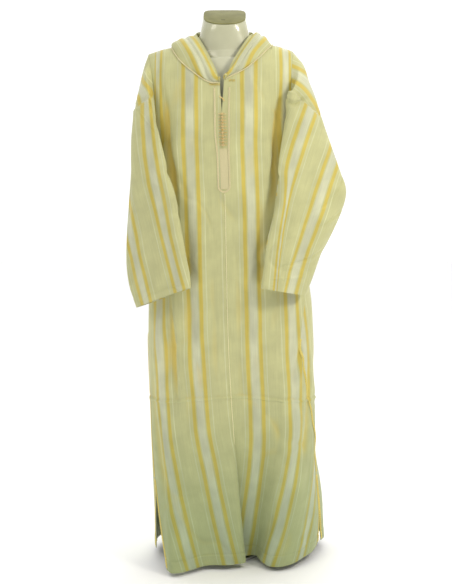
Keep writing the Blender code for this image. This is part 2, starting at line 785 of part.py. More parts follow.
def make_sleeve(name, side, sections, pieces):
    """A sleeve from its armhole to its cuff."""
    fore = pieces["front_left_panel" if side > 0 else "front_right_panel"][0]
    fore = fore[ROWS_SKIRT:, -1 if side > 0 else 0]
    rear = pieces["back_panel"][0][ROWS_SKIRT:, 0 if side > 0 else -1]
    armhole = np.concatenate([fore[::-1], rear[1:-1]])
    armhole[[0, ROWS_YOKE], 1] += GAP / 2
    armhole[:, 0] += side * SEAM_STEP
    table = np.array(sections, dtype=float)
    outer, inner = table[:, 0:3], table[:, 3:6]
    rings = [armhole]
    angles = np.linspace(0.0, 2 * math.pi, 2 * ROWS_YOKE + 1)[:-1]
    power = 2 / SLEEVE_ROUND
    c, s = signed_power(np.cos(angles), power), signed_power(np.sin(angles), power)
    for k in range(len(table)):
        half = (outer[k] - inner[k]) / 2
        turn = math.radians(SLEEVE_TURNS[min(k, len(SLEEVE_TURNS) - 1)])
        facing = np.array([side * math.sin(turn), -math.cos(turn), 0.0])
        facing = unit(facing - unit(half) * np.dot(facing, unit(half)))
        belly = np.where(s > 0, table[k, 6], table[k, 7])
        rings.append((outer[k] + inner[k]) / 2 + c[:, None] * half + (s * belly)[:, None] * facing)
    grid = np.array(rings)[::-1]
    if side > 0:
        grid = grid[:, ::-1]
    out = normals(grid, closed=True)
    out[-1] = unit(out[-1] * np.array([0.0, 1.0, 1.0]))
    wall(name, grid, grid - out * WALL, CLOTH, closed=True)


def neck_seam(pieces):
    """The neckline from the slit's left edge round the back to its right edge."""
    points, outs = [], []
    for name, columns in (("front_left_panel", range(COLUMNS_NECK + 1)),
                          ("back_panel", range(COLUMNS_BACK_SHOULDER + 1,
                                               COLUMNS_BACK_SHOULDER + COLUMNS_BACK_NECK)),
                          ("front_right_panel", range(COLUMNS_SHOULDER,
                                                      COLUMNS_SHOULDER + COLUMNS_NECK + 1))):
        grid, out = pieces[name]
        points += [grid[-1, k] for k in columns]
        outs += [out[-1, k] for k in columns]
    points, outs = np.array(points), np.array(outs)
    rise = unit(np.cross(outs, np.gradient(points, axis=0)))
    return points, outs, rise


def back_depth(x, height):
    """How far back the plain back lies at x and height."""
    if height >= UNDERARM:
        top = shoulder_height(x) - BELOW_SHOULDER
        return yoke_point(*yoke_place(x, min(height, top), back=True))[1]
    half = plain_half(height, 1 if x > 0 else -1)
    half = half[half[:, 1] > 0]
    order = np.argsort(half[:, 0])
    return float(np.interp(x, half[order, 0], half[order, 1]))


def hood_route(seam, out, share, table, roll):
    """One column of the hood, from its seam to its free edge."""
    edge = np.array([at(table, share, k) for k in (1, 2, 3)], dtype=float)
    drop = float(at(table, share, 4))
    hang = min(drop / HOOD_HANGS, 1.0)
    full = max(row[4] for row in table)
    off, lean = float(at(roll, share, 1)), float(at(roll, share, 2))

    def collar_at(way):
        rolled = (out + np.array([0.0, 0.0, 1.0])) * off + (seam - edge) * lean
        return seam + (edge - seam) * way + rolled * math.sin(math.pi * way)

    stops = [seam]
    for behind, up, way in SEAM_TURN:
        turned = seam + np.array([0.0, behind, up])
        stops.append(collar_at(way) * (1 - hang) + turned * hang)
    for part, behind, way in HOOD_ROUTE:
        collar = collar_at(way)
        x = seam[0] * (1 - HOOD_TAPER * part * drop / full)
        height = seam[2] - part * drop
        swing = HOOD_SWING * (1 - drop / full) ** 2
        bag = np.array([x, back_depth(x, height) + behind + swing, height])
        stops.append(collar * (1 - hang) + bag * hang)
    lip = hang * np.array([0.0, *HOOD_LIP]) + (1 - hang) * COLLAR_LIP * (seam - edge)
    stops.append(edge + lip)
    stops.append(edge)
    stops = np.array(stops)
    steps = np.concatenate([[0.0]] + [k + np.arange(1, n + 1) / n for k, n in enumerate(HOOD_STEPS)])
    return np.stack([smooth(steps, np.arange(len(stops)), stops[:, k]) for k in range(3)], axis=-1)


def make_hood(pieces):
    points, outs, rise = neck_seam(pieces)
    middle = COLUMNS_NECK + COLUMNS_BACK_NECK // 2
    columns = []
    for k in range(len(points)):
        steps = abs(k - middle)
        back_part = COLUMNS_BACK_NECK // 2
        if steps <= back_part:
            share = 1.0 - 0.5 * steps / back_part
        else:
            share = 0.5 * (1.0 - (steps - back_part) / COLUMNS_NECK)
        left = k < middle
        columns.append(hood_route(points[k] + rise[k] * NECK_SEAM_STEP, outs[k], share,
                                  HOOD_LEFT if left else HOOD_RIGHT,
                                  HOOD_ROLL_LEFT if left else HOOD_ROLL_RIGHT))
    grid = np.stack(columns, axis=1)
    out = normals(grid)
    out[0] = outs
    wall("hood", grid, grid - out * WALL, CLOTH)


def make_placket():
    """One braid down both sides of the neck slit and round its end, and its facing."""
    heights = np.linspace(PLACKET[-1][0], PLACKET[0][0], PLACKET_STEPS)
    middle, half = at(PLACKET, heights, 1), at(PLACKET, heights, 2)
    turns = np.linspace(0.0, math.pi, PLACKET_END_STEPS + 1)[1:-1]
    low, radius = PLACKET[0], PLACKET[0][2]
    down = [(m - h, z) for m, h, z in zip(middle, half, heights)]
    end = [(low[1] - radius * math.cos(t), low[0] - radius * math.sin(t)) for t in turns]
    up = [(m + h, z) for m, h, z in zip(middle, half, heights)][::-1]
    route = down + end + up
    points, out = map(np.array, zip(*[front_at(x, z) for x, z in route]))
    way = unit(np.gradient(points, axis=0))
    across = unit(np.cross(way, out))
    strip("placket_braid", points, across, out, PLACKET_BRAID_WIDTH, BRAID)


def make_buttons():
    """Knotted silk buttons, close together beside the neck slit."""
    for k in range(BUTTONS):
        height = BUTTON_TOP - k * BUTTON_PITCH
        point, out = front_at(float(at(NECK_SLIT, max(height, UNDERARM), 1)), height)
        spot = placed(point + out * (BUTTON_RADIUS + GAP))
        bpy.ops.mesh.primitive_uv_sphere_add(segments=BUTTON_SIDES[0], ring_count=BUTTON_SIDES[1],
                                             radius=BUTTON_RADIUS * MM, location=spot)
        bpy.context.object.name = f"knot_button_{k + 1:02d}"
        bpy.context.object.data.shade_smooth()
        keep(bpy.context.object, SILK, 0.5)


def make_piping(pieces):
    points, outs, rise = neck_seam(pieces)
    line = points - rise * PIPING_BELOW + outs * (PIPING_RADIUS + PIPING_RISE)
    tube("neck_piping_left", line[1:COLUMNS_NECK - 1], PIPING_RADIUS, BRAID)
    tube("neck_piping_right", line[3 - COLUMNS_NECK:-1], PIPING_RADIUS, BRAID)


def make_side_braids(pieces):
    """Braid over each side seam, and along both edges of each side slit below it."""
    back, back_out = pieces["back_panel"]
    for side, panel, end, back_end in (("right", "front_right_panel", 0, -1),
                                       ("left", "front_left_panel", -1, 0)):
        front, front_out = pieces[panel]
        heights = front[:ROWS_SKIRT + 1, end, 2]
        slit = int(np.argmax(heights > SIDE_SLIT))
        top = int(np.argmax(heights > SIDE_BRAID_TOP))
        across = unit(np.gradient(front[:, :2] if end == 0 else front[:, -2:], axis=1)[:, 0])
        back_across = unit(np.gradient(back[:, :2] if back_end == 0 else back[:, -2:], axis=1)[:, 0])
        rows = slice(slit, top + 1)
        both = unit(across[rows] + back_across[rows])
        strip(f"side_braid_{side}", front[rows, end], both, front_out[rows, end],
              SIDE_BRAID_WIDTH, BRAID, SIDE_BRAID_RISE)
        rows = slice(0, slit)
        shift = SIDE_BRAID_WIDTH / 2 + GAP
        inward = shift if end == 0 else -shift
        strip(f"slit_braid_{side}_front", front[rows, end] + across[rows] * inward, across[rows],
              front_out[rows, end], SIDE_BRAID_WIDTH, BRAID, SIDE_BRAID_RISE)
        inward = shift if back_end == 0 else -shift
        strip(f"slit_braid_{side}_back", back[rows, back_end] + back_across[rows] * inward,
              back_across[rows], back_out[rows, back_end], SIDE_BRAID_WIDTH, BRAID, SIDE_BRAID_RISE)


# ---------------------------------------------------------------- form and stand

def oval(half, front, back, heights, back_round=FORM_ROUND):
    """A ring of the form; heights is one height, or a function of x and y."""
    angles = np.linspace(0.0, 2 * math.pi, FORM_COLUMNS + 1)[:-1]
    power = 2 / np.where(np.sin(angles) > 0, FORM_ROUND, back_round)
    x = FORM_MIDDLE - half * signed_power(np.cos(angles), power)
    y = np.where(np.sin(angles) > 0, -front, back) * np.abs(np.sin(angles)) ** power
    z = heights(x, y) if callable(heights) else np.full(len(x), float(heights))
    return np.stack([x, y, z], axis=-1)


def solid(name, rings, colour, roughness, metallic=0.0):
    """A closed solid lofted through rings, with a flat face at both ends."""
    mesh = bpy.data.meshes.new(name)
    build = bmesh.new()
    loops = [[build.verts.new(point) for point in placed(ring)] for ring in rings]
    count = len(loops[0])
    for low, high in zip(loops, loops[1:]):
        for k in range(count):
            build.faces.new([low[k], low[(k + 1) % count], high[(k + 1) % count], high[k]])
    build.faces.new(loops[0][::-1])
    build.faces.new(loops[-1])
    build.to_mesh(mesh)
    build.free()
    obj = bpy.data.objects.new(name, mesh)
    mesh.shade_smooth()
    mesh.set_sharp_from_angle(angle=math.radians(40))
    return keep(obj, colour, roughness, metallic)


def shoulder_ring(half):
    left = shoulder_height(FORM_MIDDLE + half)
    right = shoulder_height(FORM_MIDDLE - half)

    def heights(x, y):
        share = (x - FORM_MIDDLE + half) / (2 * half)
        return right + (left - right) * share - WALL - REST - SHOULDER_FALL * np.abs(y)
    return oval(half, *SHOULDER_DEPTH, heights)


def cap_height(x, y):
    return CAP_MIDDLE + CAP_SLOPE * y


def make_form():
    rings = [oval(half, front, back, height) for height, half, front, back in FORM_SECTIONS]
    rings += [shoulder_ring(half) for half in FORM_SHOULDERS]
    rings += [oval(half, front, back, height, back_round)
              for height, half, front, back, back_round in FORM_NECK[:-1]]
    *top, top_round = FORM_NECK[-1][1:]
    rings.append(oval(*top, cap_height, top_round))
    solid("dress_form", rings, IVORY, 0.25)
    lid = [oval(*top, lambda x, y, up=up: cap_height(x, y) + up, top_round)
           for up in (GAP, GAP + CAP_THICK)]
    solid("neck_cap", lid, CAP_GREY, 0.5)


def make_stand():
    for name, radius, sides, low, high in (
            ("stand_base", BASE_RADIUS, BASE_SIDES, 0.0, BASE_THICK),
            ("stand_pole", POLE_RADIUS, POLE_SIDES, BASE_THICK + GAP, FORM_SECTIONS[0][0] - GAP)):
        bpy.ops.mesh.primitive_cylinder_add(vertices=sides, radius=radius * MM,
                                            depth=(high - low) * MM,
                                            location=placed((*STAND, (low + high) / 2)))
        bpy.context.object.name = name
        keep(bpy.context.object, STEEL, 0.3, 1.0)


def main():
    global collection
    for obj in list(bpy.data.objects):
        bpy.data.objects.remove(obj)
    collection = bpy.data.collections.new("djellaba_robe")
    bpy.context.scene.collection.children.link(collection)
    pieces = make_body()
    make_sleeve("sleeve_right", -1, SLEEVE_RIGHT, pieces)
    make_sleeve("sleeve_left", 1, SLEEVE_LEFT, pieces)
    make_hood(pieces)
    make_placket()
    make_buttons()
    make_piping(pieces)
    make_side_braids(pieces)
    make_form()
    make_stand()


main()
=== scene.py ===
import math

import bmesh
import bpy
import numpy as np
from mathutils import Matrix, Vector
from mathutils.bvhtree import BVHTree


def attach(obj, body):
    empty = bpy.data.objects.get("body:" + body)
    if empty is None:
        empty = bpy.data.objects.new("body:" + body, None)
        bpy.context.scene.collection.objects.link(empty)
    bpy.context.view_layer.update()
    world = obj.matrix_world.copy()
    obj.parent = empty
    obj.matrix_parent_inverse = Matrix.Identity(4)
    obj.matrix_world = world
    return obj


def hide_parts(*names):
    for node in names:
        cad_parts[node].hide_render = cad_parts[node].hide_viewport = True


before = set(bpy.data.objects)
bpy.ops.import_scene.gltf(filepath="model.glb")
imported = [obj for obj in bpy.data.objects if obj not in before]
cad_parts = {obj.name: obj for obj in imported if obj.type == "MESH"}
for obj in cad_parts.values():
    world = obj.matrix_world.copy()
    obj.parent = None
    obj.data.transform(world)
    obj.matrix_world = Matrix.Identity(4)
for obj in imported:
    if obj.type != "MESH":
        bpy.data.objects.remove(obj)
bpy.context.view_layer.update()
mm = 0.001
print("frame loaded")


# numbers and curves

def column(table, index):
    return np.array([row[index] for row in table], dtype=float)


def hermite(t, start, leaving, end, arriving):
    # a curve from start to end with these slopes at both, for t from 0 to 1
    return ((2 * t**3 - 3 * t**2 + 1) * start + (t**3 - 2 * t**2 + t) * leaving
            + (3 * t**2 - 2 * t**3) * end + (t**3 - t**2) * arriving)


def smooth(x, knots, values):
    # a curve with no corners through (knots, values), flat past both ends
    x = np.clip(np.asarray(x, dtype=float), knots[0], knots[-1])
    slopes = np.gradient(values, knots)
    i = np.clip(np.searchsorted(knots, x, side="right") - 1, 0, len(knots) - 2)
    width = knots[i + 1] - knots[i]
    return hermite((x - knots[i]) / width, values[i], width * slopes[i], values[i + 1],
                   width * slopes[i + 1])


def at(table, x, index):
    return smooth(x, column(table, 0), column(table, index))


def smoothEach(x, knots, rows):
    return np.stack([smooth(x, knots, values) for values in np.asarray(rows, dtype=float).T], axis=-1)


def lengths(points, axis=0):
    # how far each point is along a line, or along the lines of a grid
    far = np.linalg.norm(np.diff(points, axis=axis), axis=-1).cumsum(axis=axis)
    return np.concatenate([np.zeros_like(far.take([0], axis)), far], axis=axis)


def along(points, shares):
    # the points at these shares of a line's length
    far = lengths(points)
    return np.stack([np.interp(np.asarray(shares) * far[-1], far, points[:, k])
                     for k in range(points.shape[1])], axis=-1)


def spline(points, count):
    # evenly spaced points on a smooth curve through these
    far = lengths(points)
    curve = smoothEach(np.linspace(0.0, far[-1], 400), far, points)
    return along(curve, np.linspace(0.0, 1.0, count))


def unit(vectors):
    return vectors / np.maximum(np.linalg.norm(vectors, axis=-1, keepdims=True), 1e-9)


def signedPower(value, power):
    return np.sign(value) * np.abs(value) ** power


def bump(x, middle, width):
    # a soft hill, 1 at its middle and 0 a width away
    t = np.clip(np.abs(np.asarray(x) - middle) / width, 0.0, 1.0)
    return (1 - t * t) ** 2


def ramp(x, low, high):
    t = np.clip((np.asarray(x) - low) / (high - low), 0.0, 1.0)
    return t * t * (3 - 2 * t)


# the robe's form, in mm

robe = {
    "wall": 1.6,            # cloth with its seam allowances
    "gap": 0.3,             # between pieces
    "hem": 20.0,            # height of the hem at the centre front
    "underarm": 1150.0,
    "sideSlit": 245.0,      # height of the top of both slits
    "slitSpread": {1: 0.03, -1: 0.18},      # how far the slits open at the hem, left and right
    "slitGrowth": 1.5,
    "shoulderRound": 2.5,
    "foldGrowth": 1.15,     # how the hem's folds grow on their way down
    # rows of points are closer at the pressed crease and the hem's stitches: height, half width, more
    "closerRows": [(482.0, 28.0, 3.0), (50.0, 14.0, 2.0)],
    "rowsSkirt": 230,
    "rowsYoke": 64,
    "columnsNeck": 40,
    "columnsShoulder": 18,
    "columnsBackNeck": 50,
    "columnsBackShoulder": 20,
    # plain sections of the body: height, x of the wearer's right and left sides, how far the front
    # and the back stand out, x of the centre seam, roundness
    "sections": [
        (14, -186, 276, 118, 150, 40, 2.5),
        (120, -192, 278, 120, 149, 38, 2.5),
        (206, -194, 270, 122, 147, 36, 2.45),
        (310, -199, 258, 124, 144, 34, 2.4),
        (450, -201, 248, 125, 139, 24, 2.4),
        (620, -205, 243, 126, 132, 13, 2.35),
        (720, -203, 236, 125, 127, 9, 2.3),
        (860, -195, 214, 124, 120, 6, 2.3),
        (1000, -187, 197, 122, 113, 3, 2.3),
        (1150, -180, 184, 118, 107, -3, 2.3),
    ],
    # the hem from the centre front to the centre back: x, y, z, where its fold starts
    "hemLeft": [
        (31, -74, 20, 720), (12, -64, 20, 700), (70, -46, 18, 640), (86, -41, 17, 600),
        (99, -62, 16, 600), (110, -93, 15, 620), (122, -110, 14, 640), (142, -115, 14, 640),
        (165, -108, 15, 600), (188, -95, 17, 560), (212, -73, 20, 520), (235, -46, 24, 500),
        (252, -16, 28, 480), (264, 18, 31, 480), (284, 62, 30, 480), (280, 112, 28, 480),
        (238, 146, 25, 560), (186, 138, 23, 640), (132, 156, 21, 700), (84, 148, 20, 640),
        (34, 158, 20, 560),
    ],
    "hemRight": [
        (31, -74, 20, 720), (60, -82, 18, 700), (56, -95, 17, 640), (36, -100, 16, 600),
        (-4, -104, 16, 560), (-36, -106, 15, 520), (-66, -114, 14, 480), (-88, -130, 13, 480),
        (-112, -146, 12, 480), (-138, -152, 12, 440), (-154, -130, 13, 400), (-190, 0, 22, 400),
        (-194, 50, 24, 420), (-180, 100, 24, 480), (-140, 136, 23, 600), (-92, 134, 22, 680),
        (-44, 156, 21, 640), (-6, 148, 20, 600), (34, 158, 20, 560),
    ],
    # where the side seams run: height, right, left, as shares from front to back
    "sideSeams": [
        (14, 0.37, 0.517), (130, 0.395, 0.495), (245, 0.43, 0.47), (340, 0.44, 0.45),
        (430, 0.45, 0.41), (530, 0.47, 0.36), (620, 0.48, 0.335), (740, 0.48, 0.39),
        (900, 0.48, 0.45), (1150, 0.48, 0.48),
    ],
    # the centre seam and half the neck slit: height, x, half
    "neckSlit": [(1150, -3, 0.15), (1231, -5, 0.15), (1268, -5, 3.0), (1309, -4.5, 7.0)],
    # the shoulder line: x, height
    "shoulder": [
        (-197, 1378), (-156, 1391), (-135, 1395), (-80, 1408), (0, 1416), (80, 1413),
        (125, 1401), (141, 1398), (178, 1386),
    ],
    # armholes: height, right edge, left edge, reach
    "armholes": [
        (1150, -180.0, 184.0, 0.9995), (1180, -179.0, 180.0, 0.955), (1215, -177.0, 176.0, 0.90),
        (1250, -177.0, 173.5, 0.87), (1290, -181.0, 173.0, 0.865), (1330, -186.0, 174.0, 0.87),
        (1360, -191.5, 176.0, 0.885), (1380, -196.0, 178.0, 0.90),
    ],
    # the neckline in front and behind: x, height
    "neckRight": [(-4.5, 1309), (-28, 1304), (-46, 1310), (-62, 1320), (-86, 1338),
                  (-106, 1355), (-124, 1376), (-136, 1394.9)],
    "neckLeft": [(-4.5, 1309), (16, 1321), (36, 1330), (56, 1341), (82, 1362),
                 (98, 1377), (112, 1390), (126, 1400.8)],
    "neckBack": [(126, 1400.8), (112, 1391), (86, 1380), (50, 1372), (0, 1368),
                 (-50, 1370), (-90, 1377), (-118, 1386), (-136, 1394.9)],
}
underarm = robe["underarm"]

# the yoke rises from the section under the arms
yokeRight, yokeLeft, yokeFront, yokeBack, _, yokeRound = robe["sections"][-1][1:]
middle = (yokeRight + yokeLeft) / 2


def plainHalf(height, side):
    # one half of a plain section, from the centre front to the centre back
    right, left, front, back, centre, power = [float(at(robe["sections"], height, k)) for k in range(1, 7)]
    mid, half = (left + right) / 2, (left - right) / 2
    first = math.asin(signedPower((centre - mid) / half, power / 2))
    angle = np.linspace(first, side * math.pi, 240)
    x = mid + half * signedPower(np.sin(angle), 2 / power)
    depth = np.where(np.cos(angle) > 0, -front, back)
    return np.stack([x, depth * np.abs(np.cos(angle)) ** (2 / power)], axis=-1)


plainHeights = np.linspace(10.0, underarm, 100)
plainShares = np.linspace(0.0, 1.0, 201)
plainTables = {side: np.array([along(plainHalf(h, side), plainShares) for h in plainHeights])
               for side in (1, -1)}


def plainPoint(side, height, share):
    # the same for many places at once, between the entries of the table
    table = plainTables[side]
    row = (height - plainHeights[0]) / (plainHeights[1] - plainHeights[0])
    row = np.clip(row, 0, len(plainHeights) - 1.001)
    col = np.clip(share, 0, 0.99999) * (len(plainShares) - 1)
    r, c = row.astype(int), col.astype(int)
    fr, fc = (row - r)[..., None], (col - c)[..., None]
    low = table[r, c] * (1 - fc) + table[r, c + 1] * fc
    high = table[r + 1, c] * (1 - fc) + table[r + 1, c + 1] * fc
    return low * (1 - fr) + high * fr


def hemCurve(rows):
    # the hem's values at a share of the way along it
    rows = np.array(rows, dtype=float)
    far = lengths(rows[:, :2])
    curve = smoothEach(np.linspace(0.0, far[-1], 400), far, rows)
    travelled = lengths(curve[:, :2])
    return lambda share: [np.interp(share * travelled[-1], travelled, curve[:, k]) for k in range(4)]


hemCurves = {1: hemCurve(robe["hemLeft"]), -1: hemCurve(robe["hemRight"])}


def skirtPoint(fall, place):
    # place goes round the body: 0 centre front, 1 centre back, 2 centre front again
    place, fall = np.broadcast_arrays(np.asarray(place, float), np.asarray(fall, float))
    out = np.zeros(place.shape + (3,))
    for side, mask in ((1, place <= 1), (-1, place > 1)):
        if not mask.any():
            continue
        share = place[mask] if side > 0 else 2 - place[mask]
        x, y, low, start = hemCurves[side](share)
        height = underarm + (low - underarm) * fall[mask]
        fold = np.clip((start - height) / (start - low), 0.0, 1.0) ** robe["foldGrowth"]
        bottom = plainPoint(side, np.full(share.shape, float(robe["hemLeft"][0][2])), share)
        plain = plainPoint(side, height, share)
        out[mask] = np.stack([plain[:, 0] + fold * (x - bottom[:, 0]),
                              plain[:, 1] + fold * (y - bottom[:, 1]), height], axis=-1)
    return out


def shoulderHeight(x):
    return smooth(x, column(robe["shoulder"], 0), column(robe["shoulder"], 1))


def armholeHalf(height, left):
    # half of the yoke's width at the armhole, stretched so that its side reaches the edge
    edge = np.where(left, at(robe["armholes"], height, 2), at(robe["armholes"], height, 1))
    return np.abs(edge - middle) / at(robe["armholes"], height, 3)


def yokePoint(angle, climb):
    # angle 0 is the front, 90 degrees the left side; climb 90 degrees is the shoulder line
    angle, climb = np.asarray(angle, float), np.asarray(climb, float)
    power = 2.0 / yokeRound
    left = np.sin(angle) > 0
    height = underarm + 200.0 * np.sin(climb)      # a first guess, mended four times
    for _ in range(4):
        x = middle + armholeHalf(height, left) * signedPower(np.sin(angle), power)
        rise = np.abs(np.sin(climb)) ** (2 / robe["shoulderRound"])
        height = underarm + (shoulderHeight(x) - underarm) * rise
    depth = np.where(np.cos(angle) > 0, -yokeFront, yokeBack)
    full = np.abs(np.cos(climb)) ** (2 / robe["shoulderRound"])
    return np.stack([x, depth * full * np.abs(np.cos(angle)) ** power, height], axis=-1)


def yokePlace(x, height, back=False):
    # the angle and climb of a point of the yoke
    share = np.clip(np.abs(x - middle) / armholeHalf(height, x > middle), 0.0, 1.0)
    angle = math.copysign(math.asin(share ** (yokeRound / 2)), x - middle)
    rise = (height - underarm) / (shoulderHeight(x) - underarm)
    climb = math.asin(min(max(float(rise), 0.0), 1.0) ** (robe["shoulderRound"] / 2))
    return ((math.pi - angle) if back else angle, climb)


def armholePlaces(side, back):
    # up the armhole's edge to the end of the shoulder, the rows closer towards the top
    edge = 2 if side > 0 else 1
    rows = []
    for turn in np.linspace(0.0, math.pi / 2, robe["rowsYoke"] + 1):
        height = underarm + (robe["armholes"][-1][0] - 2.0 - underarm) * math.sin(turn) ** 0.9
        rows.append(yokePlace(float(at(robe["armholes"], height, edge)), height, back))
    rows[-1] = (rows[-1][0], math.pi / 2)
    return np.array(rows)


def patch(bottom, top, first, last):
    # a grid of places between four edges
    v = np.linspace(0.0, 1.0, len(first))[:, None, None]
    u = np.linspace(0.0, 1.0, len(bottom))[None, :, None]
    edges = (1 - v) * bottom[None] + v * top[None] + (1 - u) * first[:, None] + u * last[:, None]
    corners = ((1 - u) * (1 - v) * bottom[0] + u * (1 - v) * bottom[-1]
               + (1 - u) * v * top[0] + u * v * top[-1])
    return edges - corners


def underarmAngle(place):
    # the yoke's angle at a place round the section under the arms
    side = 1 if place <= 1 else -1
    share = place if side > 0 else 2 - place
    x, y = along(plainHalf(underarm, side), share)
    power = yokeRound / 2
    cosine = -signedPower(y / (yokeFront if y < 0 else yokeBack), power)
    sine = signedPower((x - middle) / (yokeLeft - middle), power)
    return math.atan2(sine, cosine)


def seamPlace(height, side, front):
    # the place round the body of a side seam; below the slit's top the back's edge opens away
    share = at(robe["sideSeams"], height, 2 if side > 0 else 1)
    if not front:
        spread = np.clip((robe["sideSlit"] - height) / (robe["sideSlit"] - robe["hem"]), 0.0, None)
        share = share + robe["slitSpread"][side] * spread ** robe["slitGrowth"]
    return share if side > 0 else 2 - share


def frontColumns():
    # shares of the way from the centre seam to the side, closer together at the seam
    return np.linspace(0.0, 1.0, robe["columnsNeck"] + robe["columnsShoulder"] + 1) ** 1.2


def rowFalls():
    # rows of the skirt from hem to underarm
    fine = np.linspace(1.0, 0.0, 2000)
    z = underarm + (robe["hem"] - underarm) * fine
    weight = 1 + sum(more * bump(z, height, width) for height, width, more in robe["closerRows"])
    total = np.cumsum(weight) - weight[0]
    return np.interp(np.linspace(0.0, total[-1], robe["rowsSkirt"] + 1), total, fine)


def skirtGrid(front):
    falls = rowFalls()
    heights = underarm + (robe["hem"] - underarm) * falls
    left, right = seamPlace(heights, 1, front)[:, None], seamPlace(heights, -1, front)[:, None]
    if front:
        shares = frontColumns()
        places = np.concatenate([2 - shares[None, :0:-1] * (2 - right), shares[None, :] * left], axis=1)
    else:
        count = robe["columnsBackNeck"] + 2 * robe["columnsBackShoulder"]
        places = left + np.linspace(0.0, 1.0, count + 1)[None, :] * (right - left)
    return skirtPoint(falls[:, None], places)


def neckEdge(line, back=False):
    # evenly spaced places along the neckline
    count = robe["columnsBackNeck"] if back else robe["columnsNeck"]
    places = np.array([yokePlace(x, z, back) for x, z in spline(line, 120)])
    far = lengths(yokePoint(places[:, 0], places[:, 1]))
    even = np.linspace(0.0, far[-1], count + 1)
    return [(np.interp(d, far, places[:, 0]), np.interp(d, far, places[:, 1])) for d in even]


def shoulderEdge(xFrom, xTo, count, back=False):
    return [(yokePlace(x, float(shoulderHeight(x)), back)[0], math.pi / 2)
            for x in np.linspace(xFrom, xTo, count + 1)]


def yokeGrid(front):
    rightTip, leftTip = robe["armholes"][-1][1], robe["armholes"][-1][2]
    if front:
        halves = []
        for side in (-1, 1):
            neck = robe["neckLeft"] if side > 0 else robe["neckRight"]
            tip = leftTip if side > 0 else rightTip
            top = neckEdge(neck)[:-1] + shoulderEdge(neck[-1][0], tip, robe["columnsShoulder"])
            seam = float(seamPlace(underarm, side, True))
            places = [s * seam if side > 0 else 2 - s * (2 - seam) for s in frontColumns()]
            bottom = np.array([(underarmAngle(p), 0.0) for p in places])
            slit = [yokePlace(float(at(robe["neckSlit"], z, 1)), z)
                    for z in np.linspace(underarm, neck[0][1], robe["rowsYoke"] + 1)]
            slit[0], top[0] = tuple(bottom[0]), slit[-1]
            armhole = armholePlaces(side, False)
            armhole[0], top[-1] = bottom[-1], tuple(armhole[-1])
            halves.append(patch(bottom, np.array(top), np.array(slit), armhole))
        return np.concatenate([halves[0][:, :0:-1], halves[1]], axis=1)
    neck = robe["neckBack"]
    top = (shoulderEdge(leftTip, neck[0][0], robe["columnsBackShoulder"], back=True)
           + neckEdge(neck, back=True)[1:-1]
           + shoulderEdge(neck[-1][0], rightTip, robe["columnsBackShoulder"], back=True))
    first = float(seamPlace(underarm, 1, False))
    last = float(seamPlace(underarm, -1, False))
    bottom = []
    for place in np.linspace(first, last, len(top)):
        angle = underarmAngle(place)
        bottom.append((angle if angle > 0 else angle + 2 * math.pi, 0.0))
    sides = [armholePlaces(1, True), armholePlaces(-1, True)]
    sides[1][:, 0] %= 2 * math.pi
    top = np.array(top)
    top[:, 0] %= 2 * math.pi
    for k, edge in ((0, sides[0]), (-1, sides[1])):
        edge[0], top[k] = bottom[k], edge[-1]
    return patch(np.array(bottom), top, sides[0], sides[1])


def gridNormals(grid, closed=False):
    # the outward direction at each point
    if closed:
        across = np.roll(grid, -1, axis=1) - np.roll(grid, 1, axis=1)
    else:
        across = np.gradient(grid, axis=1)
    return unit(np.cross(across, np.gradient(grid, axis=0)))


def yokeNormals(angle, climb):
    step = 0.01
    across = yokePoint(angle + step, climb) - yokePoint(angle - step, climb)
    up = yokePoint(angle, np.minimum(climb + step, math.pi / 2)) - yokePoint(angle, climb - step)
    return unit(np.cross(across, up))


# creases of the body

creases = {
    # soft vertical folds: cloth place in mm from the centre front, half width, depth,
    # from height, to height, lean in mm over that height
    "vertical": [
        # left half, by the wearer
        (142, 20, -11.6, 960, 1330, 44),
        (118, 18, 3.6, 980, 1300, -10),
        (186, 20, 5.1, 300, 760, 20),
        (222, 16, -5.1, 260, 640, 24),
        (60, 24, 3.2, 560, 1080, 6),
        (28, 14, -2.6, 420, 960, 4),
        (92, 16, -3.5, 620, 1120, -6),
        (138, 18, 4.3, 140, 620, 8),
        (260, 18, 4.3, 120, 520, 14),
        # right half, by the wearer
        (-150, 20, -10.2, 960, 1330, -40),
        (-120, 18, 2.9, 900, 1280, 8),
        (-151, 12, -9.4, 420, 820, -10),
        (-134, 12, 4.3, 420, 820, -8),
        (-196, 14, 4.3, 380, 760, -8),
        (-70, 22, 3.5, 520, 1060, -6),
        (-36, 14, -2.9, 420, 900, -4),
        (-104, 16, -3.8, 560, 1100, 4),
        (-140, 20, 4.3, 150, 560, -6),
        (-230, 20, -4.3, 140, 600, -10),
        # the back
        (380, 26, -5.0, 200, 900, 10),
        (440, 24, 4.0, 120, 860, -8),
        (520, 30, -6.0, 160, 1000, 6),
        (-380, 26, 5.0, 160, 940, -10),
        (-450, 24, -5.0, 140, 880, 8),
        (-540, 28, 4.5, 220, 1020, -6),
    ],
    # soft slanting troughs: place, height of one end, place, height of the other, width, depth
    "slanting": [
        (206, 650, 168, 520, 11, -5.8),
        (214, 640, 180, 500, 9, 3.8),
        (-30, 1030, 40, 930, 16, -2.6),
        (-120, 860, -60, 780, 18, -2.4),
        (50, 800, 130, 900, 18, 2.6),
        (-150, 1120, -96, 1010, 14, -3.5),
        (150, 1130, 92, 1020, 14, -3.5),
        (420, 1150, 500, 1060, 18, -4.0),
        (-420, 1150, -500, 1050, 18, -4.0),
    ],
    # the creases of the folded robe, pressed across it: height at the centre, sag, depth
    "pressed": [(474, 12, 2.4), (860, 8, 0.7)],
}


def slanted(s, z, run, width, starts, ends):
    # a straight trough of depth 1 from the origin along the run, that fades at both ends
    size = np.hypot(*run)
    t = (s * run[0] + z * run[1]) / size**2
    off = (s * run[1] - z * run[0]) / size
    return bump(off, 0.0, width) * ramp(t, *starts) * (1 - ramp(t, *ends))


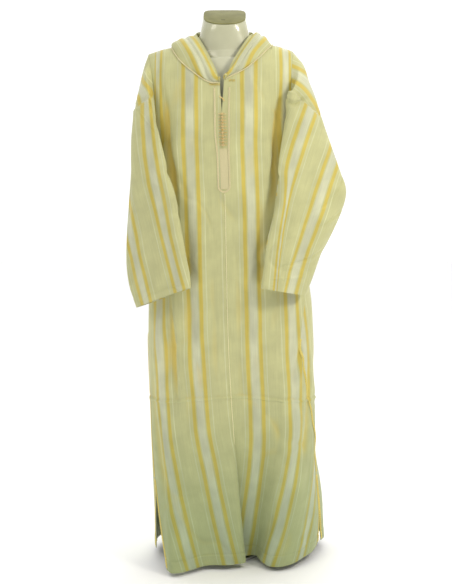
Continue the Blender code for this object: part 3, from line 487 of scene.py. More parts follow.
def bodyRelief(s, z):
    # how far the cloth stands out of its plain form, at s mm round and z up
    out = np.zeros(np.broadcast(s, z).shape)
    for where, width, depth, low, high, lean in creases["vertical"]:
        t = (z - low) / (high - low)
        strength = ramp(t, 0.0, 0.3) * (1 - ramp(t, 0.65, 1.0))
        out += depth * strength * bump(s, where + lean * (t - 0.5), width)
    for s0, z0, s1, z1, width, depth in creases["slanting"]:
        out += depth * slanted(s - s0, z - z0, (s1 - s0, z1 - z0), width, (-0.1, 0.35), (0.6, 1.1))
    for height, sag, depth in creases["pressed"]:
        line = height + sag * np.cos(s / 90.0)
        out += depth * (bump(z, line, 4.0) - 0.5 * bump(z, line + 7.0, 5.0))
    return out


# small creases that wander over the cloth, and the soft swell between them, in mm
wrinkles = {
    "waves": 7,                         # in each of the three patterns below
    "lines": (120, 240, 0.6),           # lengths and lean of the waves that the creases follow
    "areas": (260, 420, 1.5),           # of those that say where there are creases
    "swells": (70, 130, 0.35),
    "crease": 2.8, "half": 0.3, "swell": 1.3,
    "seeds": {"front": 11, "back": 12, 1: 14, -1: 13},     # 1 and -1 are the sleeves
}


def wrinkled(s, z, seed):
    # how far they move the cloth, at s mm round and z up
    draw = np.random.default_rng(seed)

    def waves(shortest, longest, lean):
        total = np.zeros(np.broadcast(s, z).shape)
        for _ in range(wrinkles["waves"]):
            size, turn = draw.uniform(shortest, longest), draw.normal(0, lean)
            start = draw.uniform(0, 7)
            total += np.sin(2 * math.pi * (s * math.cos(turn) + z * math.sin(turn)) / size + start)
        return total / math.sqrt(wrinkles["waves"] / 2)

    line, where, swell = [waves(*wrinkles[k]) for k in ("lines", "areas", "swells")]
    crease = np.exp(-(line / wrinkles["half"])**2) * ramp(where, -0.2, 0.9)
    return wrinkles["swell"] * swell - wrinkles["crease"] * crease


# the hem is turned up and stitched: the stitch line sinks, and the doubled cloth stands out
hemStitch = {"bottom": 17.0, "up": 30.0, "half": 3.0, "sinks": 1.2, "doubled": 0.6}


def hemRelief(fall):
    up = (1 - fall) * (underarm - hemStitch["bottom"])
    doubled = 1 - ramp(up, hemStitch["up"] - 4.0, hemStitch["up"] + 1.0)
    stitches = bump(up, hemStitch["up"], hemStitch["half"])
    return hemStitch["doubled"] * doubled - hemStitch["sinks"] * stitches


def bodyGrid(front):
    # the plain cloth of the front or back from hem to shoulder, and its outward directions
    places = yokeGrid(front)[1:]
    grid = np.concatenate([skirtGrid(front), yokePoint(places[..., 0], places[..., 1])])
    out = gridNormals(grid)
    out[robe["rowsSkirt"] + 1:] = yokeNormals(places[..., 0], places[..., 1])
    return grid, out


def clothRound(grid, front):
    # distance round the cloth from the centre seam, along each row
    far = lengths(grid[:, :, :2], axis=1)
    start = robe["columnsNeck"] + robe["columnsShoulder"] if front else 0
    s = far - far[:, start:start + 1]
    # above the underarm the threads run straight up, so s depends on x alone
    base, x = robe["rowsSkirt"], grid[:, :, 0] if front else -grid[:, :, 0]
    order = np.argsort(x[base]) if front else slice(None)
    for row in range(base + 1, len(grid)):
        s[row] = np.interp(x[row], x[base, order], s[base, order])
    return s


def drawnIn(grid, distance, end):
    # one edge of a grid moved inward by a distance
    near = 1 if end == 0 else -2
    step = unit(grid[:, near] - grid[:, end])
    grid[:, end] += step * np.asarray(distance)[..., None]


# meshes, from points in mm

def placed(name, mesh, angle=60):
    # smooth shading that stops at edges sharper than the angle
    mesh.shade_smooth()
    mesh.set_sharp_from_angle(angle=math.radians(angle))
    obj = bpy.data.objects.new(name, mesh)
    bpy.context.scene.collection.objects.link(obj)
    return obj


def clothWall(name, outer, inner, uv, closed=False):
    # a wall of cloth between two grids; uv is in mm, across the cloth and along it
    rows, cols = outer.shape[:2]
    count = rows * cols
    index = np.arange(count).reshape(rows, cols)
    ring = np.concatenate([index, index[:, :1]], axis=1) if closed else index
    spots = np.arange(uv.shape[0] * uv.shape[1]).reshape(uv.shape[:2])
    a, b, c, d = ring[:-1, :-1], ring[:-1, 1:], ring[1:, 1:], ring[1:, :-1]
    ua, ub, uc, ud = spots[:-1, :-1], spots[:-1, 1:], spots[1:, 1:], spots[1:, :-1]
    sheets = [((a, b, c, d), (ua, ub, uc, ud)),
              ((d + count, c + count, b + count, a + count), (ud, uc, ub, ua))]
    rims = [(b[0], a[0], ub[0], ua[0]), (d[-1], c[-1], ud[-1], uc[-1])]
    if not closed:
        rims += [(a[:, 0], d[:, 0], ua[:, 0], ud[:, 0]), (c[:, -1], b[:, -1], uc[:, -1], ub[:, -1])]
    sheets += [((p, q, q + count, p + count), (up, uq, uq, up)) for p, q, up, uq in rims]
    faces, coords = [np.concatenate([np.stack(sheet[k], axis=-1).reshape(-1, 4) for sheet in sheets])
                     for k in (0, 1)]
    mesh = bpy.data.meshes.new(name)
    points = np.concatenate([outer.reshape(-1, 3), inner.reshape(-1, 3)]) * mm
    mesh.from_pydata(points.tolist(), [], faces.tolist())
    layer = mesh.uv_layers.new(name="cloth")
    layer.data.foreach_set("uv", (uv.reshape(-1, 2)[coords.reshape(-1)] * mm).reshape(-1))
    return placed(name, mesh)


def tube(name, rings, closed=False, bevel=0.0, angle=60):
    # a skin through rings of points, closed at its ends or into a loop, and its rims bevelled
    count, sides = rings.shape[:2]
    faces = [(k * sides + j, (k + 1) % count * sides + j, (k + 1) % count * sides + (j + 1) % sides,
              k * sides + (j + 1) % sides)
             for k in range(count if closed else count - 1) for j in range(sides)]
    if not closed:
        faces += [tuple(range(sides)), tuple(range((count - 1) * sides, count * sides))[::-1]]
    mesh = bpy.data.meshes.new(name)
    mesh.from_pydata((rings.reshape(-1, 3) * mm).tolist(), [], faces)
    shaped = bmesh.new()
    shaped.from_mesh(mesh)
    bmesh.ops.recalc_face_normals(shaped, faces=shaped.faces)
    if bevel:
        rims = [e for e in shaped.edges if e.is_manifold and e.calc_face_angle() > math.radians(50)]
        bmesh.ops.bevel(shaped, geom=rims, offset=bevel * mm, segments=3, affect="EDGES", profile=0.5)
    shaped.to_mesh(mesh)
    shaped.free()
    return placed(name, mesh, angle)


def axesAlong(points, outs):
    # the way of a line at each point, and the side that lies across it in the cloth
    way = unit(np.gradient(points, axis=0))
    return way, unit(np.cross(way, outs))


def sweep(name, points, outs, radius, sides=6, closed=False):
    # a round cord through points; the radius may vary along it
    points = np.asarray(points, dtype=float)
    outs = np.broadcast_to(outs, points.shape)
    radius = np.broadcast_to(np.asarray(radius, dtype=float), (len(points),))[:, None, None]
    way, side = axesAlong(points, outs)
    if closed:
        way = unit(np.roll(points, -1, axis=0) - np.roll(points, 1, axis=0))
        side = unit(np.cross(way, outs))
    top = np.cross(side, way)
    turn = np.linspace(0, 2 * math.pi, sides, endpoint=False)[None, :, None]
    rings = points[:, None] + side[:, None] * (np.cos(turn) * radius) + top[:, None] * (np.sin(turn) * radius)
    return tube(name, rings, closed)


def ribbon(name, points, outs, width, thick, crown=0.5):
    # a flat braid with a crowned top and closed ends
    _, side = axesAlong(points, outs)
    half = [(0.5, 0.0), (0.5, 0.55), (0.3, 1.0 - crown * 0.1)]
    shape = [(-a, b) for a, b in half] + [(0.0, 1.0)] + half[::-1]
    return tube(name, np.stack([points + side * (a * width) + outs * (b * thick) for a, b in shape], axis=1))


def cordLine(points, outs, radius, turnMm):
    # two strands twisted round a line
    turns = 2 * math.pi * lengths(points) / turnMm
    _, side = axesAlong(points, outs)
    pieces = []
    for phase in (turns, turns + math.pi):
        strand = points + (side * np.cos(phase)[:, None] + outs * np.sin(phase)[:, None]) * radius * 0.5
        pieces.append(sweep("strand", strand, outs, radius * 0.62))
    return pieces


def joined(name, pieces):
    # several meshes as one piece
    whole = bmesh.new()
    for obj in pieces:
        mesh = obj.data
        whole.from_mesh(mesh)
        bpy.data.objects.remove(obj)
        bpy.data.meshes.remove(mesh)
    mesh = bpy.data.meshes.new(name)
    whole.to_mesh(mesh)
    whole.free()
    return placed(name, mesh)


# materials

def linear(hexColour):
    values = [int(hexColour[k:k + 2], 16) / 255 for k in (1, 3, 5)]
    values = [v / 12.92 if v <= 0.04045 else ((v + 0.055) / 1.055) ** 2.4 for v in values]
    return (*values, 1.0)


def addNode(tree, kind, settings=None, links=None, into=None):
    # settings are node attributes or input values; links come from sockets or a node's first
    # output into its inputs, and its own first output goes into a socket
    node = tree.nodes.new("ShaderNode" + kind)
    for key, value in (settings or {}).items():
        if isinstance(key, str) and hasattr(node, key):
            setattr(node, key, value)
        else:
            node.inputs[key].default_value = value
    for key, source in (links or {}).items():
        tree.links.new(source.outputs[0] if hasattr(source, "outputs") else source, node.inputs[key])
    if into:
        tree.links.new(node.outputs[0], into)
    return node


def newMaterial(name, settings):
    # a material, its nodes, and the inputs of its shader with these values set
    material = bpy.data.materials.new(name)
    material.use_nodes = True
    tree = material.node_tree
    shader = tree.nodes["Principled BSDF"]
    for key, value in settings.items():
        shader.inputs[key].default_value = value
    return material, tree, shader.inputs


def objectMm(tree):
    # where a point is in the room, in mm, for a pattern's scale
    place = addNode(tree, "TexCoord")
    return addNode(tree, "VectorMath", {"operation": "SCALE", "Scale": 1000.0}, {0: place.outputs["Object"]})


def rampStops(node, stops):
    bar = node.color_ramp
    while len(bar.elements) > 1:
        bar.elements.remove(bar.elements[-1])
    bar.elements[0].position, bar.elements[0].color = stops[0]
    for place, colour in stops[1:]:
        bar.elements.new(place).color = colour


def twoTones(tree, pattern, values, socket):
    # the pattern runs the colour from one tone to the other
    colour = addNode(tree, "ValToRGB", {}, {0: pattern}, socket)
    rampStops(colour, [(place, linear(tone)) for place, tone in zip(values["stops"], values["tones"])])


stripes = {
    "repeat": 107.0,        # mm from one white band to the next
    "satin": 9.5,           # half of the white satin band
    "goldFrom": 13.0,
    "goldTo": 22.6,
    "pinFrom": 31.0,        # the thin white line
    "pinTo": 33.5,
    "edge": 0.9,
    "plain": "#cbca94",
    "white": "#d2d3b0",
    "gold": "#d3c05a",
    "pin": "#d6d7a8",
    "roughness": (0.82, 0.5, 0.62, 0.6),    # of plain, white, gold and pin
    "paintedSheen": (0.1, 1.0, 0.5, 0.8),          # how far each band shows the painted sheen's long patches
    "threadMm": 0.55,
    "slubMm": 1.6,
    "wander": (83.3, 3.0),  # the bands drift over this length, by this much
    "toneMm": 50.0,
    "sheenPatchMm": 62.5,
}


def bands(plain, white, gold, pin):
    # ramp stops across half a repeat, from the values inside each band
    half, soft = stripes["repeat"] / 2, stripes["edge"]
    stops = [(0.0, white)]
    for edge, before, after in (("satin", white, plain), ("goldFrom", plain, gold), ("goldTo", gold, plain),
                                ("pinFrom", plain, pin), ("pinTo", pin, plain)):
        stops += [(stripes[edge] - soft, before), (stripes[edge] + soft, after)]
    return [(place / half, value) for place, value in stops]


# painted shade: deep folds are painted a deeper gold, standing in for light that comes back out of a fold of
# this thin cloth, and the cloth is painted darker and greener towards the hem, standing in for light that
# falls off there; heights in metres
paintedShadeTint = {"hollow": "#e8cf66", "strength": 0.75, "from": 1.5, "over": 8.0,
             # the painted shade towards the hem: its colour, and the heights where it is full and where it
             # ends
             "hem": "#d3e0dc", "lowShadeFull": 0.06, "lowShadeNone": 0.60}


def stripedCloth():
    # woven cotton with satin stripes: matte ground, smoother bands that catch the light
    material, tree, shader = newMaterial("striped_cotton_satin", {
        "Roughness": 0.8, "Sheen Weight": 0.18, "Sheen Roughness": 0.5, "IOR": 1.45,
    })
    uv = addNode(tree, "UVMap", {"uv_map": "cloth"})
    inMm = addNode(tree, "VectorMath", {"operation": "SCALE", "Scale": 1000.0}, {0: uv})
    parts = addNode(tree, "SeparateXYZ", {}, {0: inMm})
    # where a point is between the middle of a white band and the middle of a repeat
    wanderMm, drift = stripes["wander"]
    wander = addNode(tree, "TexNoise", {"Scale": 1.0 / wanderMm, "Detail": 2.0}, {"Vector": inMm})
    shift = addNode(tree, "Math", {"operation": "MULTIPLY_ADD", 1: drift, 2: -drift / 2}, {0: wander})
    across = addNode(tree, "Math", {"operation": "ADD"}, {0: parts, 1: shift})
    half = stripes["repeat"] / 2
    fold = addNode(tree, "Math", {"operation": "PINGPONG", 1: half}, {0: across})
    share = addNode(tree, "Math", {"operation": "DIVIDE", 1: half}, {0: fold})
    colour = addNode(tree, "ValToRGB", {}, {0: share})
    rampStops(colour, bands(*[linear(stripes[k]) for k in ("plain", "white", "gold", "pin")]))
    gloss = addNode(tree, "ValToRGB", {}, {0: share}, shader["Roughness"])
    rampStops(gloss, bands(*[(v, v, v, 1) for v in stripes["roughness"]]))
    # painted sheen: how much of it each band takes
    satin = addNode(tree, "ValToRGB", {}, {0: share})
    rampStops(satin, bands(*[(v, v, v, 1) for v in stripes["paintedSheen"]]))
    # lengthwise slubs, broad changes of tone, and a painted sheen: the satin lighter and darker in long
    # patches
    thin = addNode(tree, "VectorMath", {"operation": "MULTIPLY", 1: (1.0, 0.02, 1.0)}, {0: inMm})
    slub = addNode(tree, "TexNoise", {"Scale": 1.0 / stripes["slubMm"], "Detail": 3.0}, {"Vector": thin})
    slubTone = addNode(tree, "MapRange", {1: 0.3, 2: 0.7, 3: 0.93, 4: 1.05}, {0: slub})
    broad = addNode(tree, "TexNoise", {"Scale": 1.0 / stripes["toneMm"], "Detail": 3.0}, {"Vector": inMm})
    broadTone = addNode(tree, "MapRange", {1: 0.3, 2: 0.7, 3: 0.92, 4: 1.05}, {0: broad})
    long = addNode(tree, "VectorMath", {"operation": "MULTIPLY", 1: (1.0, 0.4, 1.0)}, {0: inMm})
    sheenPatches = addNode(tree, "TexNoise", {"Scale": 1.0 / stripes["sheenPatchMm"], "Detail": 2.0}, {"Vector": long})
    paintedSheen = addNode(tree, "MapRange", {1: 0.35, 2: 0.65, 3: 0.84, 4: 1.1}, {0: sheenPatches})
    paintedSheenTone = addNode(tree, "Mix", {2: 1.0}, {0: satin, 3: paintedSheen})
    cloth = addNode(tree, "Math", {"operation": "MULTIPLY"}, {0: slubTone, 1: broadTone})
    tone = addNode(tree, "Math", {"operation": "MULTIPLY"}, {0: cloth, 1: paintedSheenTone})
    toned = addNode(tree, "VectorMath", {"operation": "SCALE"}, {0: colour, "Scale": tone})
    # painted shade: a gold tint in the folds, and darker, greener cloth towards the hem
    # painted shade: folds tinted gold by how deep they lie
    hollow = addNode(tree, "Attribute", {"attribute_name": "hollow"})
    foldShadeAmount = addNode(tree, "Math", {"operation": "MULTIPLY", 1: paintedShadeTint["strength"]},
                     {0: hollow.outputs["Fac"]})
    deep = addNode(tree, "Mix", {"data_type": "RGBA", 7: linear(paintedShadeTint["hollow"])},
                   {0: foldShadeAmount, 6: toned})
    # painted shade: the cloth multiplied darker and greener towards the hem, by height
    place = addNode(tree, "TexCoord")
    height = addNode(tree, "SeparateXYZ", {}, {0: place.outputs["Object"]})
    low = addNode(tree, "MapRange", {"interpolation_type": "SMOOTHSTEP", 1: paintedShadeTint["lowShadeNone"],
                                     2: paintedShadeTint["lowShadeFull"]}, {0: height.outputs[2]})
    paintedLowShade = addNode(tree, "Mix", {"data_type": "RGBA", "blend_type": "MULTIPLY", 7: linear(paintedShadeTint["hem"])},
                   {0: low, 6: deep.outputs[2]})
    tree.links.new(paintedLowShade.outputs[2], shader["Base Color"])
    # plain weave: raised threads both ways
    threads = []
    for direction in (parts.outputs[0], parts.outputs[1]):
        turns = addNode(tree, "Math", {"operation": "MULTIPLY", 1: 2 * math.pi / stripes["threadMm"]},
                        {0: direction})
        threads.append(addNode(tree, "Math", {"operation": "SINE"}, {0: turns}))
    weave = addNode(tree, "Math", {"operation": "ADD"}, {0: threads[0], 1: threads[1]})
    rough = addNode(tree, "Math", {"operation": "MULTIPLY_ADD", 1: 0.8}, {0: slub, 2: weave})
    addNode(tree, "Bump", {"Strength": 0.12, "Distance": 0.0003}, {"Height": rough}, shader["Normal"])
    return material


threadLooks = {
    # dark and light tones, grain in mm, roughness and sheen
    "cream_braid_cord": ("#dacf9c", "#f0e7c0", 0.9, 0.6, 0.2),
    "cream_seam_cord": ("#eee9b4", "#fbf8d4", 0.9, 0.65, 0.2),
    "yellow_stitched_braid": ("#d9c455", "#f2e48a", 1.0, 0.62, 0.2),
    "rose_cream_facing": ("#d1c896", "#dad0a4", 1.4, 0.6, 0.3),
    "rose_gold_silk_knot": ("#cfae4c", "#efdcab", 3.6, 0.42, 0.4),
    "gold_thread": ("#c9a52c", "#eed35c", 0.8, 0.45, 0.3),
}


def threadMaterial(name):
    # sewn or twisted thread: a broken tone along the strands and a fine grain
    dark, light, grainMm, roughness, sheen = threadLooks[name]
    material, tree, shader = newMaterial(name, {"Roughness": roughness, "Sheen Weight": sheen, "IOR": 1.45})
    inMm = objectMm(tree)
    grain = addNode(tree, "TexNoise", {"Scale": 1.0 / grainMm, "Detail": 4.0}, {"Vector": inMm})
    twoTones(tree, grain, {"tones": (dark, light), "stops": (0.36, 0.62)}, shader["Base Color"])
    strands = addNode(tree, "TexWave", {"Scale": 0.6 / grainMm, "Distortion": 2.0,
                                        "bands_direction": "DIAGONAL"}, {"Vector": inMm})
    addNode(tree, "Bump", {"Strength": 0.4, "Distance": 0.0003}, {"Height": strands.outputs["Fac"]},
            shader["Normal"])
    return material


lacquer = {"tones": ("#c9c9aa", "#d3d3b6"), "stops": (0.35, 0.65), "cloudMm": 111.1, "skinMm": 3.846}


def lacquerMaterial():
    # lacquered fibreglass: ivory with a clear coat that gives narrow highlights
    material, tree, shader = newMaterial("ivory_lacquer", {
        "Roughness": 0.3, "Coat Weight": 0.6, "Coat Roughness": 0.06, "IOR": 1.5,
    })
    inMm = objectMm(tree)
    cloud = addNode(tree, "TexNoise", {"Scale": 1.0 / lacquer["cloudMm"], "Detail": 3.0}, {"Vector": inMm})
    twoTones(tree, cloud, lacquer, shader["Base Color"])
    skin = addNode(tree, "TexNoise", {"Scale": 1.0 / lacquer["skinMm"], "Detail": 2.0}, {"Vector": inMm})
    addNode(tree, "Bump", {"Strength": 0.03, "Distance": 0.0005}, {"Height": skin}, shader["Normal"])
    return material


board = {"tones": ("#767440", "#8a8852"), "stops": (0.3, 0.7), "toothMm": 28.57}


def boardMaterial():
    # matte painted board: olive grey with a soft tooth, drawn coarse enough to show
    material, tree, shader = newMaterial("olive_grey_board", {"Roughness": 0.62, "IOR": 1.45})
    tooth = addNode(tree, "TexNoise", {"Scale": 1.0 / board["toothMm"], "Detail": 5.0},
                    {"Vector": objectMm(tree)})
    twoTones(tree, tooth, board, shader["Base Color"])
    addNode(tree, "Bump", {"Strength": 0.15, "Distance": 0.0004}, {"Height": tooth}, shader["Normal"])
    return material


steel = {"tones": ("#b4b4b0", "#cfcfcb"), "stops": (0.3, 0.7), "scratchMm": (25.0, 25.0, 0.7143),
         "roughness": (0.26, 0.4)}


def steelMaterial():
    # brushed steel: grey metal with rings of fine scratches round it
    material, tree, shader = newMaterial("brushed_steel", {"Metallic": 1.0, "Roughness": 0.32})
    flat = addNode(tree, "VectorMath", {"operation": "DIVIDE", 1: steel["scratchMm"]}, {0: objectMm(tree)})
    scratch = addNode(tree, "TexNoise", {"Scale": 1.0, "Detail": 3.0}, {"Vector": flat})
    twoTones(tree, scratch, steel, shader["Base Color"])
    low, high = steel["roughness"]
    addNode(tree, "MapRange", {1: 0.3, 2: 0.7, 3: low, 4: high}, {0: scratch}, shader["Roughness"])
    return material


slotShadeLook = {"tone": "#3c3b2e", "gritMm": 2.5}


def slotShadeMaterial():
    # painted shade: a dark matte sheet on the cap stands for the shade inside its slot, with a fine grit
    material, tree, shader = newMaterial("painted_slot_shade", {"Roughness": 0.9,
                                                       "Base Color": linear(slotShadeLook["tone"])})
    grit = addNode(tree, "TexNoise", {"Scale": 1.0 / slotShadeLook["gritMm"]}, {"Vector": objectMm(tree)})
    addNode(tree, "Bump", {"Strength": 0.2, "Distance": 0.0003}, {"Height": grit}, shader["Normal"])
    return material


paper = {"tones": ("#fcfcfb", "#fefefd"), "stops": (0.3, 0.7), "cloudMm": 333.3}


def paperMaterial():
    # pale backdrop paper: matte, almost even
    material, tree, shader = newMaterial("pale_paper", {"Roughness": 0.9})
    cloud = addNode(tree, "TexNoise", {"Scale": 1.0 / paper["cloudMm"]}, {"Vector": objectMm(tree)})
    twoTones(tree, cloud, paper, shader["Base Color"])
    return material


clothFinish = stripedCloth()
creamFinish = threadMaterial("cream_braid_cord")
centreFinish = threadMaterial("cream_seam_cord")
yellowFinish = threadMaterial("yellow_stitched_braid")
facingFinish = threadMaterial("rose_cream_facing")
silkFinish = threadMaterial("rose_gold_silk_knot")
stitchFinish = threadMaterial("gold_thread")
print("materials made")


# the body's cloth

def finished(obj, material, slot, *nodes):
    obj.data.materials.clear()
    obj.data.materials.append(material)
    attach(obj, "root")
    if nodes:
        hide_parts(*nodes)
    return obj


def halfArea(obj):
    return sum(p.area for p in obj.data.polygons) / 2


def markPaintedFoldShade(obj, depths):
    # how deep each point lies in a fold, 0 to 1, for the painted fold shade in the cloth's colour; both faces
    # alike
    share = np.clip((depths - paintedShadeTint["from"]) / paintedShadeTint["over"], 0.0, 1.0).reshape(-1)
    layer = obj.data.attributes.new("hollow", "FLOAT", "POINT")
    layer.data.foreach_set("value", np.concatenate([share, share]))


def clothUv(grid, s):
    # v runs up each column of the cloth
    return np.stack([s, lengths(grid)], axis=-1)


def fromMiddle(grid):
    # 0 at the middle column, 1 at both sides
    return np.abs(np.linspace(-1, 1, grid.shape[1]))[None, :]


bodyCloth = {
    "calm": (0.55, 0.95),       # up the yoke, where the relief fades to nothing
    "sides": (0.84, 0.99),      # from the middle to a side, where the small creases fade
    "seam": (0.05, 0.35),       # and away from the centre seam, which stays flat
    "sleeves": (0.82, 0.98),    # and where the relief stops beside the sleeves
    "backFoldShade": 0.4,            # the back shows this much of the painted fold shade
    "rightStart": 85.0,         # where the stripes begin on each front, in mm of a repeat
    "leftStart": -67.0,
}
rowsSkirt = robe["rowsSkirt"]
centre = robe["columnsNeck"] + robe["columnsShoulder"]
front, frontOut = bodyGrid(True)
back, backOut = bodyGrid(False)
frontRound, backRound = clothRound(front, True), clothRound(back, False)
# front and back agree along the closed seams and over the shoulders
for f, b in ((0, -1), (-1, 0)):
    apart = np.linalg.norm(front[:rowsSkirt + 1, f] - back[:rowsSkirt + 1, b], axis=1)
    rows = np.nonzero(apart < robe["wall"])[0]
    both = unit(frontOut[rows, f] + backOut[rows, b])
    frontOut[rows, f] = both
    backOut[rows, b] = both
for out, seam in ((frontOut, robe["columnsShoulder"]), (backOut, robe["columnsBackShoulder"])):
    for part in (slice(0, seam + 1), slice(-seam - 1, None)):
        out[-1, part] = unit(out[-1, part] * np.array([1.0, 0.0, 1.0]))

skirtFalls = np.concatenate([rowFalls(), np.zeros(robe["rowsYoke"])])[:, None]
# relief fades near the neckline, the armholes and the shoulder line, where other pieces lie on it
yokeUp = np.concatenate([np.zeros(rowsSkirt + 1), np.linspace(0, 1, robe["rowsYoke"])])[:, None]
calm = 1 - ramp(yokeUp, *bodyCloth["calm"])
frontEdge, backEdge = [1 - ramp(fromMiddle(grid), *bodyCloth["sides"]) for grid in (front, back)]
frontEdge = frontEdge * ramp(fromMiddle(front), *bodyCloth["seam"])
hemTurn = hemRelief(skirtFalls) * (skirtFalls > 0)
leftLength, rightLength = frontRound[:, -1:], -frontRound[:, :1]
wide = backRound[:, -1:]
mix = ramp(backRound, wide / 2 - 40, wide / 2 + 40)     # the folds of both sides meet over 80 mm
frontRelief = bodyRelief(frontRound, front[..., 2]) * calm + hemTurn
backRelief = (bodyRelief(leftLength + backRound, back[..., 2]) * (1 - mix)
              + bodyRelief(-(rightLength + wide - backRound), back[..., 2]) * mix) * calm + hemTurn
frontRelief += wrinkled(frontRound, front[..., 2], wrinkles["seeds"]["front"]) * frontEdge * calm
backRelief += wrinkled(backRound, back[..., 2], wrinkles["seeds"]["back"]) * backEdge * calm
frontRelief *= 1 - (yokeUp > 0) * ramp(fromMiddle(front), *bodyCloth["sleeves"])
backRelief *= 1 - (yokeUp > 0) * ramp(fromMiddle(back), *bodyCloth["sleeves"])


def folded(plain, plainOut, relief):
    # the cloth moved out by its relief, and its new directions, but the old ones at its seams
    moved = plain + plainOut * relief[..., None]
    turned = gridNormals(moved)
    turned[-2:] = plainOut[-2:]
    turned[:, 0], turned[:, -1] = plainOut[:, 0], plainOut[:, -1]
    return moved, turned


front, frontOut = folded(front, frontOut, frontRelief)
back, backOut = folded(back, backOut, backRelief)
seamGap = np.full(len(front), robe["gap"] / 2)
slitHalf = np.interp(front[:, centre, 2], column(robe["neckSlit"], 0), column(robe["neckSlit"], 2))
# the threads of the back hang from a straight line through its middle
middles = np.interp(back[:, 0, 2], [robe["hem"], underarm],
                    [back[0, :, 0].mean(), back[rowsSkirt, :, 0].mean()])
middles[rowsSkirt:] = middles[rowsSkirt]
plumb = np.array([np.interp(-m, -back[row, :, 0], backRound[row]) for row, m in enumerate(middles)])
plumb[rowsSkirt:] = plumb[rowsSkirt]
rightHalf, leftHalf = np.s_[:, :centre + 1], np.s_[:, centre:]
tips, backTips = robe["columnsShoulder"] + 1, robe["columnsBackShoulder"] + 1
bodyPieces = {
    # name: grid, outward directions, way round, node, gap at both ends, depths for the painted fold shade,
    # stripes,
    # and the columns and the step of its shoulder seams
    "frontRightCloth": (front[rightHalf], frontOut[rightHalf], frontRound[rightHalf],
                        "front_right_panel", (seamGap, slitHalf), -frontRelief[rightHalf],
                        bodyCloth["rightStart"], [slice(0, tips)], -0.5),
    "frontLeftCloth": (front[leftHalf], frontOut[leftHalf], frontRound[leftHalf],
                       "front_left_panel", (slitHalf, seamGap), -frontRelief[leftHalf],
                       bodyCloth["leftStart"], [slice(-tips, None)], -0.5),
    "backCloth": (back, backOut, backRound, "back_panel", (seamGap, seamGap),
                  -bodyCloth["backFoldShade"] * backRelief, stripes["repeat"] / 2 - plumb[:, None],
                  [slice(0, backTips), slice(-backTips, None)], 0.5),
}
clothPieces, areas = {}, {}
for name, (grid, out, s, node, ends, depths, start, seams, step) in bodyPieces.items():
    grid = grid.copy()
    drawnIn(grid, ends[0], 0)
    drawnIn(grid, ends[1], -1)
    for part in seams:
        grid[-1, part, 1] += step * robe["gap"]
    obj = clothWall(name, grid, grid - out * robe["wall"], clothUv(grid, s + start))
    finished(obj, clothFinish, "striped_cloth", node)
    markPaintedFoldShade(obj, depths)
    clothPieces[name] = (grid, out, s, obj)
    areas[name] = halfArea(obj)
print("body cloth made")


# sleeves

